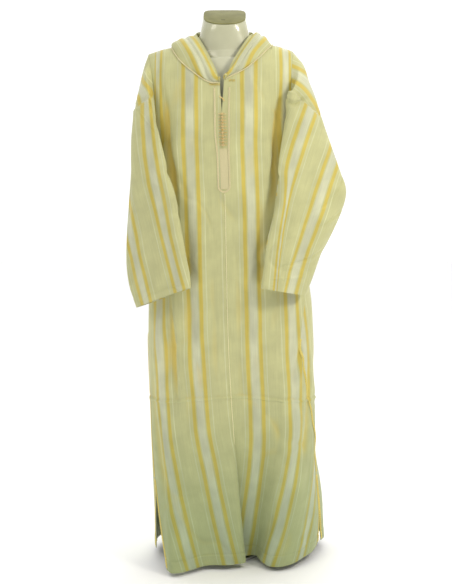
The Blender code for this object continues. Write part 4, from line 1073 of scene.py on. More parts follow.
sleeves = {
    "round": 2.2,
    "turns": [4, 10, 18, 26, 33, 36],   # how far each section faces outward, in degrees
    "step": 0.4,                        # from the armhole's edge
    "rows": 190,
    "length": 640.0, "girth": 430.0,    # that the slanting creases are measured by
    "edge": 0.44, "inner": 0.5,         # shares round: where the front folds over the body, and under
    "cuff": (28.0, 3.0, -0.8),          # the hem's stitches: height, width, depth
    # from here on, 1 is the wearer's left sleeve and -1 the right one
    # sections from below the armhole to the cuff: x, y and height of the outer and the inner edge,
    # and how far the front and the back stand out from the line between them
    "sections": {
        -1: [
            (-206, -2, 1345, -188, -26, 1136, 64, 48), (-213, -4, 1300, -184, -62, 1122, 58, 22),
            (-221, -8, 1245, -169, -94, 1106, 48, 11), (-230, -14, 1185, -147, -114, 1082, 40, 9),
            (-237, -19, 1120, -131, -126, 1047, 33, 9), (-243, -25, 1055, -119, -133, 1002, 28, 10),
            (-249, -33, 985, -110, -138, 952, 25, 11), (-254, -43, 910, -101, -144, 901, 24, 12),
            (-255, -56, 835, -93, -150, 851, 22, 13), (-247, -69, 775, -87, -155, 814, 21, 13),
            (-229, -80, 722, -84, -158, 787, 20, 13),
        ],
        1: [
            (205, -2, 1352, 191, -28, 1137, 60, 46), (217, -6, 1308, 183, -70, 1126, 54, 22),
            (235, -10, 1258, 166, -98, 1112, 46, 11), (255, -15, 1203, 145, -116, 1085, 40, 9),
            (277, -22, 1146, 136, -126, 1045, 34, 9), (300, -30, 1085, 129, -133, 1000, 29, 10),
            (319, -40, 1030, 123, -139, 957, 27, 11), (309, -47, 978, 116, -144, 917, 27, 11),
            (283, -56, 920, 109, -149, 880, 28, 10), (251, -64, 858, 103, -153, 846, 29, 9),
            (228, -72, 802, 99, -157, 815, 31, 8), (208, -82, 756, 96, -160, 786, 33, 8),
        ],
    },
    # gold stripes down the front of each sleeve, from the inner edge outward: the pattern place,
    # then x and height; and the one over the cap
    "lines": {
        -1: [
            (-18, [(-188, 1259), (-178, 1150), (-166, 1077), (-153, 1016), (-138, 924), (-120, 850),
                   (-103, 789)]),
            (18, [(-205, 1271), (-207, 1200), (-204, 1130), (-193, 1046), (-172, 961), (-151, 876),
                  (-126, 782)]),
            (89, [(-252, 1010), (-239, 965), (-229, 918), (-219, 863), (-197, 776), (-190, 745)]),
            (125, [(-262, 920), (-242, 853), (-231, 800), (-214, 735)]),
        ],
        1: [
            (-18, [(211, 1258), (191, 1202), (180, 1167), (169, 1133), (162, 1105), (158, 1080),
                   (158, 1045), (156, 1000), (147, 945), (137, 870), (130, 794)]),
            (18, [(235, 1223), (222, 1188), (210, 1153), (197, 1115), (185, 1080), (173, 1042),
                  (161, 990), (151, 934), (142, 863), (136, 794)]),
            (89, [(270, 1122), (257, 1090), (247, 1063), (234, 1028), (192, 902), (166, 824), (152, 765)]),
            (125, [(291, 1077), (278, 1045), (256, 979), (237, 928), (217, 878), (201, 824), (184, 758)]),
        ],
    },
    "capLine": {
        -1: (-18, [(-214, 1322), (-206, 1308), (-190, 1288), (-178, 1240)]),
        1: (-18, [(160, 1316), (178, 1308), (206, 1288), (228, 1262), (262, 1200)]),
    },
    # folds of a sleeve: share round (0 outer edge, 0.25 front, 0.5 inner edge, 0.75 back),
    # half width as a share, depth in mm, from and to as shares of its length, lean
    "folds": {
        -1: [(0.18, 0.07, 3.0, 0.10, 0.75, -0.05), (0.30, 0.06, -3.5, 0.22, 0.95, 0.03),
             (0.40, 0.05, 2.5, 0.30, 1.0, 0.02), (0.08, 0.05, -2.5, 0.35, 1.0, 0.04),
             (0.70, 0.07, 3.0, 0.15, 0.9, 0.05), (0.82, 0.06, -3.5, 0.25, 1.0, -0.04),
             (0.60, 0.05, -2.5, 0.30, 1.0, 0.02)],
        1: [(0.16, 0.07, -3.0, 0.12, 0.55, -0.05), (0.28, 0.06, 3.0, 0.15, 0.7, 0.05),
            (0.36, 0.06, -3.5, 0.35, 0.98, 0.03), (0.22, 0.05, 2.5, 0.5, 1.0, -0.02),
            (0.70, 0.07, -3.0, 0.15, 0.8, 0.05), (0.84, 0.06, 3.5, 0.25, 1.0, -0.04),
            (0.60, 0.05, 2.5, 0.40, 1.0, 0.02)],
    },
    # slanting creases: share round and along at each end, half width in mm, depth
    "creases": {
        -1: [(0.02, 0.22, 0.42, 0.27, 8, -1.8), (0.30, 0.10, 0.46, 0.20, 12, -4.5),
             (0.56, 0.22, 0.92, 0.27, 9, -1.8), (0.60, 0.45, 0.80, 0.40, 10, -2.4)],
        1: [(0.42, 0.06, 0.14, 0.22, 9, -7.5), (0.40, 0.01, 0.20, 0.12, 14, 4.5),
            (0.02, 0.52, 0.30, 0.62, 10, -4.5), (0.02, 0.66, 0.26, 0.70, 8, -3.6),
            (0.05, 0.80, 0.34, 0.86, 8, -3.9), (0.08, 0.90, 0.36, 0.93, 7, 2.7),
            (0.60, 0.52, 0.98, 0.58, 10, -3.9), (0.62, 0.80, 0.92, 0.84, 9, -3.0)],
    },
    # the edge of a sleeve's front where it folds over the body: share down the sleeve, then the place
    "flap": {
        1: [(0.000, 172, -80, 1290), (0.083, 162, -92, 1246), (0.167, 154, -99, 1200),
            (0.250, 147, -108, 1150), (0.333, 141, -118, 1097), (0.417, 135.5, -126, 1046)],
        -1: [(0.000, -188, -74, 1290), (0.091, -182, -86, 1250), (0.182, -172, -95, 1202),
             (0.273, -160, -106, 1153), (0.364, -146, -117, 1092), (0.455, -131, -126, 1047)],
    },
    # the fold over the top of a sleeve: x and height at both ends, and its size
    "lap": {
        1: ((172, 1284), (246, 1222), 8.0),
        -1: ((-186, 1268), (-226, 1240), 4.5),
    },
}


def sleeveGrid(side):
    # rings from the armhole to the cuff, each from its outer edge by the front to its inner edge
    fore = clothPieces["frontLeftCloth" if side > 0 else "frontRightCloth"][0]
    fore = fore[rowsSkirt:, -1 if side > 0 else 0]
    rear = clothPieces["backCloth"][0][rowsSkirt:, 0 if side > 0 else -1]
    armhole = np.concatenate([fore[::-1], rear[1:-1]])
    armhole[[0, robe["rowsYoke"]], 1] += robe["gap"] / 2
    armhole[:, 0] += side * sleeves["step"]
    table = np.array(sleeves["sections"][side], dtype=float)
    outer, inner = table[:, 0:3], table[:, 3:6]
    angles = np.linspace(0.0, 2 * math.pi, len(armhole) + 1)[:-1]
    power = 2 / sleeves["round"]
    c, s = signedPower(np.cos(angles), power), signedPower(np.sin(angles), power)
    rings = [armhole]
    for k in range(len(table)):
        half = (outer[k] - inner[k]) / 2
        turn = math.radians(sleeves["turns"][min(k, len(sleeves["turns"]) - 1)])
        facing = np.array([side * math.sin(turn), -math.cos(turn), 0.0])
        facing = unit(facing - unit(half) * np.dot(facing, unit(half)))
        belly = np.where(s > 0, table[k, 6], table[k, 7])
        rings.append((outer[k] + inner[k]) / 2 + c[:, None] * half + (s * belly)[:, None] * facing)
    rings = np.array(rings)
    steps = np.linspace(0.0, len(rings) - 1, sleeves["rows"])
    slopes = np.gradient(rings, axis=0)
    slopes[0] = rings[1] - rings[0]
    i = np.clip(steps.astype(int), 0, len(rings) - 2)
    t = (steps - i)[:, None, None]
    return hermite(t, rings[i], slopes[i], rings[i + 1], slopes[i + 1])


def foldedOver(side, grid):
    # the front of the sleeve pulled over the body, as the flap table of sleeves says
    rows, cols = grid.shape[:2]
    w = np.linspace(0.0, 1.0, rows)
    a = np.linspace(0.0, 1.0, cols, endpoint=False)
    table = np.array(sleeves["flap"][side])
    edge = np.stack([np.interp(w, table[:, 0], table[:, k]) for k in (1, 2, 3)], axis=-1)
    move = edge - grid[:, int(round(sleeves["edge"] * cols))]
    move = move * (ramp(w, 0.0, 0.07) * (1 - ramp(w, 0.34, 0.44)))[:, None]
    share = ramp(a, 0.08, sleeves["edge"]) * (1 - ramp(a, sleeves["edge"], sleeves["inner"]))
    return grid + move[:, None] * share[None, :, None]


def belowLap(side, grid):
    # how far each point is below the fold over the top of the sleeve
    (x0, z0), (x1, z1), _ = sleeves["lap"][side]
    return z0 + (grid[..., 0] - x0) * (z1 - z0) / (x1 - x0) - grid[..., 2]


def sleeveRelief(side, grid):
    # how far the folds and creases move the sleeve's cloth out
    rows, cols = grid.shape[:2]
    w = np.linspace(0.0, 1.0, rows)[:, None]
    a = np.linspace(0.0, 1.0, cols, endpoint=False)[None, :]
    ringLength = np.linalg.norm(np.roll(grid, -1, axis=1) - grid, axis=2).sum(axis=1)[:, None]
    length = sleeves["length"]
    out = np.zeros((rows, cols))
    for where, width, depth, low, high, lean in sleeves["folds"][side]:
        t = (w - low) / (high - low)
        strength = ramp(t, 0.0, 0.25) * (1 - 0.4 * ramp(t, 0.8, 1.0)) * (w < high + 1e-6)
        gap = (a - where - lean * t + 0.5) % 1.0 - 0.5
        out += depth * strength * bump(gap, 0.0, width)
    for a0, w0, a1, w1, width, depth in sleeves["creases"][side]:
        px, py = (a - a0) * ringLength, (w - w0) * length
        run = ((a1 - a0) * sleeves["girth"], (w1 - w0) * length)
        out += depth * slanted(px, py, run, width, (-0.05, 0.3), (0.65, 1.05))
    up, wide, deep = sleeves["cuff"]
    out += deep * bump((1 - w) * length, up, wide)
    small = wrinkled(a * ringLength.mean(), w * length, wrinkles["seeds"][side])
    out += small * ramp(np.minimum(a, 1 - a), 0.0, 0.08) * ramp(w, 0.15, 0.4)
    under = belowLap(side, grid)
    fore = 1 - ramp(a, sleeves["edge"], sleeves["inner"])
    fore = ramp(a, 0.0, 0.06) * fore * (1 - ramp(w, 0.22, 0.34))
    lap = ramp(under, 0.0, 7.0) * (1 - ramp(under, 22.0, 80.0)) - 0.45 * bump(under, -5.0, 9.0)
    out += sleeves["lap"][side][2] * fore * lap
    return out * ramp(w, 0.0, 0.05)


def fromThread(x, z, line):
    # signed distance from a line of points, positive to its outer side
    start, step = line[:-1], np.diff(line, axis=0)
    px, pz = x[..., None] - start[:, 0], z[..., None] - start[:, 1]
    t = np.clip((px * step[:, 0] + pz * step[:, 1]) / (step**2).sum(axis=1), 0.0, 1.0)
    dx, dz = px - t * step[:, 0], pz - t * step[:, 1]
    near = np.hypot(dx, dz).argmin(axis=-1)
    pick = lambda values: np.take_along_axis(values, near[..., None], axis=-1)[..., 0]
    turn = pick(step[:, 0] * pz - step[:, 1] * px)
    return np.hypot(pick(dx), pick(dz)) * np.sign(turn)


def betweenLines(side, x, z):
    # pattern place on the front of a sleeve, from the stripes on both sides
    places, lines = [], []
    for place, points in sleeves["lines"][side]:
        low = np.array(points[::-1], dtype=float)
        line = np.interp(z, low[:, 1], low[:, 0])
        for end, near in ((0, 1), (-1, -2)):
            slope = (low[end, 0] - low[near, 0]) / (low[end, 1] - low[near, 1])
            past = z - low[end, 1]
            line = line + slope * (np.maximum(past, 0.0) if end else np.minimum(past, 0.0))
        places.append(place)
        lines.append(side * line)
    across = side * x
    out = places[0] + (across - lines[0])
    for k in range(1, len(lines)):
        wide = np.maximum(lines[k] - lines[k - 1], 6.0)
        t = (across - lines[k - 1]) / wide
        out = np.where(t > 0, places[k - 1] + np.minimum(t, 1.0) * (places[k] - places[k - 1]), out)
    return np.where(across > lines[-1], places[-1] + across - lines[-1], out)


def sleevePattern(side, plain, folded):
    # places on the front as the stripes show, and round the back by length; the columns run
    # from the inner edge by the back and the outer edge to the inner edge
    capPlace, cap = sleeves["capLine"][side]
    rows, cols = plain.shape[:2]
    half = cols // 2
    capLine = spline(cap, 30)
    seen = folded[:, half::-1]
    w = np.linspace(0.0, 1.0, rows)[:, None]
    below = betweenLines(side, seen[..., 0], seen[..., 2])
    above = fromThread(seen[..., 0], seen[..., 2], capLine) * side + capPlace
    onCap = (belowLap(side, seen) < 0.0) & (w < 0.3)
    front = np.where(onCap, above, below)
    # round the two edges the places go on by length
    arcs = lengths(plain[:, half::-1], axis=1)
    inner, outer = int(0.08 * half), int(0.86 * half)
    front[:, :inner] = front[:, inner:inner + 1] - (arcs[:, inner:inner + 1] - arcs[:, :inner])
    front[:, outer:] = front[:, outer:outer + 1] + (arcs[:, outer:] - arcs[:, outer:outer + 1])
    kernel = np.hanning(23)[1:-1] / np.hanning(23).sum()
    edge = np.convolve(np.pad(front[:, -1], 10, mode="edge"), kernel, mode="valid")
    rear = np.concatenate([plain[:, :1], plain[:, :half - 1:-1]], axis=1)
    back = edge[:, None] + lengths(rear, axis=1)[:, :0:-1]
    return np.concatenate([back, front[:, ::-1]], axis=1), half


for name, node, side in (("sleeveRightCloth", "sleeve_right", -1), ("sleeveLeftCloth", "sleeve_left", 1)):
    plain = sleeveGrid(side)
    grid = foldedOver(side, plain)
    turned = np.s_[::-1, ::-side]       # from the cuff up, and round the same way on both sides
    out = gridNormals(grid[turned], closed=True)[turned]
    out[0] = unit(out[0] * np.array([0.0, 1.0, 1.0]))
    grid = grid + out * sleeveRelief(side, grid)[..., None]
    s, half = sleevePattern(side, plain, grid)
    # start the columns at the inner edge, so that the pattern's seam is there
    grid, out = np.roll(grid, -half, axis=1), np.roll(out, -half, axis=1)
    grid, out, s = grid[::-1], out[::-1], s[::-1]
    if side > 0:
        grid = np.concatenate([grid[:, :1], grid[:, :0:-1]], axis=1)
        out = np.concatenate([out[:, :1], out[:, :0:-1]], axis=1)
        s = s[:, ::-1]
    uv = clothUv(np.concatenate([grid, grid[:, :1]], axis=1), s)
    obj = clothWall(name, grid, grid - out * robe["wall"], uv, closed=True)
    finished(obj, clothFinish, "striped_cloth", node)
    clothPieces[name] = (grid, out, s, obj)
    areas[name] = halfArea(obj)
print("sleeves made")


# hood

hood = {
    "taper": 0.62,          # how much narrower it is at its lowest
    "hangs": 90.0,          # a part this deep or deeper hangs down the back
    "swing": 9.0,           # the sides of the bag stand this much further out than its middle
    "step": 0.9,            # from the neck seam
    # over the neck seam: behind it, above it, share of the way over the collar
    "turn": [(0.4, 4.0, 0.03), (3.5, 7.0, 0.06), (8.0, 4.0, 0.09)],
    # down the back and up again: share of the drop, behind the back, share over the collar
    "route": [(0.06, 6, 0.14), (0.40, 6, 0.22), (0.78, 6, 0.31), (1.00, 12, 0.41),
              (0.78, 19, 0.52), (0.40, 21, 0.64), (0.10, 23, 0.78)],
    "steps": [1, 1, 1, 1, 2, 2, 2, 2, 2, 2, 2, 1],
    "fine": 6,              # rows in each of these steps
    "stripe": 31.0,         # from the free edge to the middle of the white band
    # from the free edge, half width, depth: the fold between the strip and the layer behind first
    "collarFolds": [(31.0, 7.0, -3.5), (45.0, 12.0, 2.0), (15.0, 12.0, 1.2)],
    "bagFolds": (1.6, 58.0),        # depth, and how close together
    "edgeStitch": (9.0, 2.5, -0.7),
    # the free edge of the wearer's left half, 1, and of the right one, -1: its share of the way from
    # the front corner to the middle of the back, x, y, height, and how deep the hood hangs there
    "edge": {
        -1: [
            (0.00, -11, -109, 1310, 0), (0.15, -20, -97, 1336, 0), (0.30, -37, -72, 1372, 0),
            (0.45, -61, -38, 1414, 0), (0.58, -73, 6, 1431, 0), (0.66, -70, 34, 1436, 42),
            (0.74, -64, 56, 1438, 125), (0.86, -40, 88, 1436, 230), (1.00, 0, 100, 1432, 330),
        ],
        1: [
            (0.00, 3, -109, 1316, 0), (0.15, 12, -97, 1338, 0), (0.30, 30, -72, 1372, 0),
            (0.45, 62, -40, 1420, 0), (0.58, 76, 4, 1432, 0), (0.66, 73, 32, 1436, 42),
            (0.74, 65, 56, 1438, 125), (0.86, 40, 88, 1436, 230), (1.00, 0, 100, 1432, 330),
        ],
    },
    # how the collar part rolls: share, off, lean over the shoulder
    "roll": {
        -1: [(0.00, 6, 0.0), (0.15, 6, 0.0), (0.30, 6, 0.06), (0.42, 6, 0.25),
             (0.50, 6, 0.36), (0.58, 6, 0.25), (0.70, 6, 0.0)],
        1: [(0.00, 6, 0.0), (1.00, 6, 0.0)],
    },
}


def neckSeam():
    # the neckline from the left corner round the back to the right one, its outward directions,
    # and the way up off the cloth's edge
    neck, first, backFirst = robe["columnsNeck"], robe["columnsShoulder"], robe["columnsBackShoulder"]
    runs = (("frontLeftCloth", slice(0, neck + 1)),
            ("backCloth", slice(backFirst + 1, backFirst + robe["columnsBackNeck"])),
            ("frontRightCloth", slice(first, first + neck + 1)))
    points, outs = [np.concatenate([clothPieces[name][k][-1, run] for name, run in runs])
                    for k in (0, 1)]
    return points, outs, unit(np.cross(outs, np.gradient(points, axis=0)))


def backDepth(x, height):
    # y of the plain back at x and a height
    if height >= underarm:
        place = yokePlace(x, min(height, float(shoulderHeight(x)) - 3.0), back=True)
        return float(yokePoint(*place)[1])
    half = plainHalf(height, 1 if x > 0 else -1)
    half = half[half[:, 1] > 0]
    order = np.argsort(half[:, 0])
    return float(np.interp(x, half[order, 0], half[order, 1]))


def hoodRoute(seam, out, share, side):
    # one column of the hood, from the neck seam to the free edge: a rolled collar in front, and
    # behind it a bag that goes down the back and up again
    table, roll = hood["edge"][side], hood["roll"][side]
    edge = np.array([at(table, share, k) for k in (1, 2, 3)], dtype=float)
    drop = float(at(table, share, 4))
    hang = min(drop / hood["hangs"], 1.0)
    full = max(row[4] for row in table)
    off, lean = float(at(roll, share, 1)), float(at(roll, share, 2))

    def collarAt(way):
        rolled = (out + np.array([0.0, 0.0, 1.0])) * off + (seam - edge) * lean
        return seam + (edge - seam) * way + rolled * math.sin(math.pi * way)

    stops = [seam]
    for behind, up, way in hood["turn"]:
        stops.append(collarAt(way) * (1 - hang) + (seam + np.array([0.0, behind, up])) * hang)
    for part, behind, way in hood["route"]:
        x = seam[0] * (1 - hood["taper"] * part * drop / full)
        height = seam[2] - part * drop
        swing = hood["swing"] * (1 - drop / full) ** 2
        bag = np.array([x, backDepth(x, height) + behind + swing, height])
        stops.append(collarAt(way) * (1 - hang) + bag * hang)
    stops.append(edge + hang * np.array([0.0, 6.0, -12.0]) + (1 - hang) * 0.1 * (seam - edge))
    stops.append(edge)
    steps = np.concatenate([[0.0]] + [k + np.arange(1, hood["fine"] * n + 1) / (hood["fine"] * n)
                                      for k, n in enumerate(hood["steps"])])
    return smoothEach(steps, np.arange(len(stops)), stops)


seamPoints, seamOuts, seamRise = neckSeam()
backPart = robe["columnsBackNeck"] // 2
hoodMiddle = robe["columnsNeck"] + backPart
columns, hoodShares = [], []
for k in range(len(seamPoints)):
    away = abs(k - hoodMiddle)
    if away <= backPart:
        share = 1.0 - 0.5 * away / backPart
    else:
        share = 0.5 * (1.0 - (away - backPart) / robe["columnsNeck"])
    hoodShares.append(share)
    columns.append(hoodRoute(seamPoints[k] + seamRise[k] * hood["step"], seamOuts[k], share,
                             1 if k < hoodMiddle else -1))
grid = np.stack(columns, axis=1)
out = gridNormals(grid)
out[0] = seamOuts
fromEdge = lengths(grid[::-1])[::-1]
hoodShares = np.array(hoodShares)[None, :]
# folds of the collar, and soft ones down the bag of the hood
collar = ramp(hoodShares, 0.02, 0.1) * (1 - ramp(hoodShares, 0.5, 0.62))
inward = ramp(np.linspace(0, 1, len(grid))[:, None], 0.0, 0.12)
relief = collar * sum(deep * bump(fromEdge, place, width) for place, width, deep in hood["collarFolds"])
deep, waves = hood["bagFolds"]
relief = relief + ramp(hoodShares, 0.6, 0.75) * (deep * np.sin(hoodShares * waves)
                                                 * ramp(fromEdge, 60.0, 140.0))
place, width, deep = hood["edgeStitch"]
relief = relief + deep * bump(fromEdge, place, width)
grid = grid + out * (relief * inward)[..., None]
edgeRun = np.broadcast_to(lengths(grid[-1])[None, :], fromEdge.shape)
uv = np.stack([fromEdge - hood["stripe"], edgeRun], axis=-1)
hoodCloth = clothWall("hoodCloth", grid, grid - out * robe["wall"], uv)
finished(hoodCloth, clothFinish, "striped_cloth", "hood")
areas["hoodCloth"] = halfArea(hoodCloth)
print("hood made")


# places on the front

frontMesh = bmesh.new()
for name in ("frontRightCloth", "frontLeftCloth"):
    frontMesh.from_mesh(clothPieces[name][3].data)
frontTree = BVHTree.FromBMesh(frontMesh)
frontMesh.free()


def onCloth(x, z, lift=0.0):
    # the front's outer face straight behind x and z, and its outward direction
    hit, normal, *_ = frontTree.ray_cast(Vector((x * mm, -0.4, z * mm)), Vector((0, 1, 0)))
    if hit is None:     # past the cloth's edge: the place nearest to a point before the chest
        hit, normal, *_ = frontTree.find_nearest(Vector((x * mm, -0.115, z * mm)))
    normal = np.array(normal)
    if normal[1] > 0:
        normal = -normal
    return np.array(hit) / mm + normal * lift, normal


def laidLine(route, lift, count):
    # a line of evenly spaced points laid on the front, and their outward directions
    spots = [onCloth(x, z, lift) for x, z in spline(route, count)]
    points, outs = [np.array([spot[k] for spot in spots]) for k in (0, 1)]
    kernel = np.ones(5) / 5
    for k in range(3):
        outs[:, k] = np.convolve(np.pad(outs[:, k], 2, mode="edge"), kernel, mode="valid")
    return points, unit(outs)


def resampled(points, outs, pitch):
    far = lengths(points)
    even = np.linspace(0, far[-1], max(int(far[-1] / pitch), 2))
    points, outs = [np.stack([np.interp(even, far, values[:, k]) for k in range(3)], axis=-1)
                    for values in (points, outs)]
    return points, unit(outs)


# placket, buttons and centre seam

placket = {
    # height, middle, half the distance between its braids
    "heights": [(1044, 0.5, 14.5), (1080, -0.5, 14.5), (1135, -2.5, 15.0), (1170, -4.0, 17.5),
                (1240, -5.0, 18.0), (1292, -5.0, 19.0)],
    "width": 4.6, "thick": 0.8, "lift": 0.25,
    "cords": 0.27,                          # from its middle to each cord, as a share of its width
    "cord": 0.95, "twist": 3.2,
    "facingWidth": 20.0, "facingThick": 0.5, "facingLift": 0.6,
    "facingAside": 1.5,                     # beside the slit's own line
    "facingFrom": 1139.0, "facingTo": 1036.0,
}
low, lowMiddle, lowHalf = placket["heights"][0]
zs = np.linspace(placket["heights"][-1][0], low, 60)
mids, halves = at(placket["heights"], zs, 1), at(placket["heights"], zs, 2)
down = list(zip(mids - halves, zs))
roundEnd = [(lowMiddle - lowHalf * math.cos(t), low - lowHalf * math.sin(t))
          for t in np.linspace(0, math.pi, 26)[1:-1]]
points, outs = laidLine(down + roundEnd + list(zip(mids + halves, zs))[::-1], placket["lift"], 300)
parts = [ribbon("braidTape", points, outs, placket["width"], placket["thick"])]
_, side = axesAlong(points, outs)
for share in (-placket["cords"], placket["cords"]):
    cord = resampled(points + side * placket["width"] * share + outs * placket["thick"], outs, 1.0)
    parts += cordLine(*cord, placket["cord"], placket["twist"])
finished(joined("placketBraid", parts), creamFinish, "cream_braid", "placket_braid")

# the facing between the braids below the buttons
line = [(float(at(placket["heights"], z, 1)) + placket["facingAside"], z)
        for z in np.linspace(placket["facingFrom"], placket["facingTo"], 40)]
facing = ribbon("facing", *laidLine(line, placket["facingLift"], 90), placket["facingWidth"],
                placket["facingThick"], 0.2)
finished(facing, facingFinish, "cream_braid")

# the seam down the centre front, covered by a thin cord
seamCord = {"from": 1030.0, "to": 150.0, "lift": 0.55, "radius": 1.0, "twist": 6.0}
picked = (front[:, centre, 2] < seamCord["from"]) & (front[:, centre, 2] > seamCord["to"])
points, outs = front[picked, centre][::-1], frontOut[picked, centre][::-1]
points, outs = resampled(points + outs * seamCord["lift"], outs, 1.6)
parts = cordLine(points, outs, seamCord["radius"], seamCord["twist"])
finished(joined("centreSeamCord", parts), centreFinish, "cream_braid")

knot = {
    "count": 11, "top": 1226.0, "pitch": 7.8, "radius": 3.3, "cord": 0.62,
    "winds": 2, "crossings": 5,
    "aside": 0.8, "down": -0.4,             # beside the slit's line, and how far it tips forward
    "loop": [(1.0, 1.4), (3.5, 1.0), (6.0, 0.8), (8.5, 0.8), (10.5, 0.8)],     # aside, above the cloth
    "loopCord": 0.9,
}
for k in range(knot["count"]):
    z = knot["top"] - k * knot["pitch"]
    spot, out = onCloth(float(at(robe["neckSlit"], max(z, underarm), 1)) + knot["aside"], z)
    out = unit(out + np.array([0.0, knot["down"], 0.0]))
    middleAt = spot + out * (knot["radius"] + 0.2)
    # a turk's head: a cord that winds twice round while it goes over and under itself
    t = np.linspace(0, 2 * math.pi, 96, endpoint=False)
    r = knot["radius"] * (0.78 - 0.2 * np.cos(knot["crossings"] * t))
    up = np.array([0.0, 0.0, 1.0])
    aside = unit(np.cross(up, out))
    ring = (middleAt + aside * (r * np.cos(knot["winds"] * t))[:, None]
            + up * (r * np.sin(knot["winds"] * t))[:, None] * 0.95
            + out * (knot["radius"] * 0.55 * np.sin(knot["crossings"] * t))[:, None])
    core = bmesh.new()
    bmesh.ops.create_icosphere(core, subdivisions=2, radius=knot["radius"] * 0.72 * mm,
                               matrix=Matrix.Translation(Vector(middleAt * mm)))
    coreMesh = bpy.data.meshes.new("knotCore")
    core.to_mesh(coreMesh)
    core.free()
    parts = [sweep("knotCord", ring, out, knot["cord"], closed=True), placed("knotCore", coreMesh)]
    for sign in (-1, 1):
        line = [spot + aside * sign * d + out * h for d, h in knot["loop"]]
        parts.append(sweep("loopCord", spline(line, 14), out, knot["loopCord"], 5))
    finished(joined(f"knot{k + 1:02d}", parts), silkFinish, "silk_button", f"knot_button_{k + 1:02d}")
# the bar that holds the slit closed at its widest
slitBar = {"route": [(-11, 1270), (-5, 1263), (1, 1258)], "lift": 1.6, "radius": 1.7}
line = spline([onCloth(x, z, slitBar["lift"])[0] for x, z in slitBar["route"]], 16)
finished(sweep("slitBar", line, (0.0, -1.0, 0.0), slitBar["radius"], 8), silkFinish, "silk_button")
print("placket made")


# piping, stitches and side braids

piping = {"radius": 1.5, "twist": 6.5, "below": 0.9, "above": 1.9, "short": 2}
pipingLine = seamPoints - seamRise * piping["below"] + seamOuts * piping["above"]
n, short = robe["columnsNeck"], piping["short"]
for name, node, part in (("pipingLeft", "neck_piping_left", slice(short, n - short)),
                         ("pipingRight", "neck_piping_right", slice(-n + short + 1, -short))):
    cord = resampled(pipingLine[part], seamOuts[part], 1.2)
    finished(joined(name, cordLine(*cord, piping["radius"], piping["twist"])), creamFinish,
             "cream_braid", node)

# stitches that hold the piping's ends: place of each, and the highest they may start
neckStitches = {
    "stitchesRight": ([(-36 + 3.4 * k, 1306.5 - 0.9 * abs(k - 3) + 9.0 * (k % 2)) for k in range(8)], 1302),
    "stitchesLeft": ([(13 + 3.4 * k, 1311 + 2.4 * k + 6.0 * (k % 2)) for k in range(5)], 1312),
}
for name, (spots, highest) in neckStitches.items():
    parts = []
    for x, z in spots:
        z = min(z, highest)
        a, out = onCloth(x, z, 0.7)
        b, _ = onCloth(x + 1.6, z - 5.0, 0.7)
        line = spline([a, (a + b) / 2 + out * 0.7, b], 8)
        parts.append(sweep("stitch", line, out, 0.55, 5))
    finished(joined(name, parts), stitchFinish, "yellow_braid")

sideBraid = {
    "width": 7.0, "thick": 0.9, "top": 636.0, "pitch": 6.0, "lift": 0.35,
    # one stitch: across the braid, along it, above it, radius
    "stitch": [(-2.8, -1.4, -0.3, 0.6), (-1.0, -0.4, 0.7, 1.25), (1.0, 0.4, 0.7, 1.25),
               (2.8, 1.4, -0.3, 0.6)],
}


def stitchedBraid(name, points, outs, node):
    # a flat tape with a row of raised stitches down its middle
    tape, tapeOuts = resampled(points + outs * sideBraid["lift"], outs, 3.0)
    parts = [ribbon("tape", tape, tapeOuts, sideBraid["width"], sideBraid["thick"])]
    beads, beadOuts = resampled(points + outs * (sideBraid["lift"] + sideBraid["thick"]), outs,
                                sideBraid["pitch"])
    for p, o, w, s in list(zip(beads, beadOuts, *axesAlong(beads, beadOuts)))[1:-1]:
        line = [p + s * across + w * ahead + o * above for across, ahead, above, _ in sideBraid["stitch"]]
        parts.append(sweep("stitch", line, o, column(sideBraid["stitch"], 3)))
    return finished(joined(name, parts), yellowFinish, "yellow_braid", node)


# the left side's seam is the last column of the front and the first of the back
rear, rearOut = clothPieces["backCloth"][:2]
shift = sideBraid["width"] / 2 + robe["gap"]
for side, name, end, backEnd in (("right", "frontRightCloth", 0, -1), ("left", "frontLeftCloth", -1, 0)):
    fore, foreOut = clothPieces[name][:2]
    heights = fore[:rowsSkirt + 1, end, 2]
    slit, top = [int(np.argmax(heights > height)) for height in (robe["sideSlit"], sideBraid["top"])]
    rows = slice(slit, top + 1)
    stitchedBraid(f"sideBraid_{side}", fore[rows, end], foreOut[rows, end], f"side_braid_{side}")
    rows = slice(1, slit)
    for face, grid, out, col in (("front", fore, foreOut, end), ("back", rear, rearOut, backEnd)):
        away = unit(grid[rows, -2 if col else 1] - grid[rows, col])
        stitchedBraid(f"slitBraid_{side}_{face}", grid[rows, col] + away * shift, out[rows, col],
                      f"slit_braid_{side}_{face}")
print("trims made")


# form and stand

form = {
    # height, half width, front, back; the neck also has its roundness
    "sections": [(742, 118, 78, 84), (760, 134, 88, 94), (840, 150, 96, 100), (930, 136, 90, 88),
                 (1010, 118, 84, 78), (1090, 132, 100, 86), (1150, 146, 108, 92), (1220, 152, 102, 92),
                 (1290, 156, 88, 86), (1340, 158, 72, 76), (1366, 159, 60, 68)],
    "round": 2.2, "depth": (48, 50),
    # half width, how far the throat comes forward and up
    "shoulders": [(156, 11.0, 2.0), (138, 9.0, 2.5), (118, 7.0, 3.0), (98, 5.0, 3.5), (82, 3.5, 4.5)],
    "neck": [(1424, 66, 50, 56, 2.3), (1440, 62, 50, 55, 2.8), (1470, 55, 49, 50, 5.5)],
    "middle": 2.0, "columns": 84,
    "rest": 1.4, "fall": 0.45,      # below the robe's shoulders, and lower by this away from their line
    "capMiddle": 1471.0, "capSlope": 0.42, "capThick": 2.5, "rowsEach": 5,
    "rim": 1.5, "capRim": 0.6, "sharp": 40,
}
stand = {"pole": 12.5, "place": (5.0, 48.0), "base": 104.0, "thick": 8.0, "round": 1.6, "poleRound": 0.8}


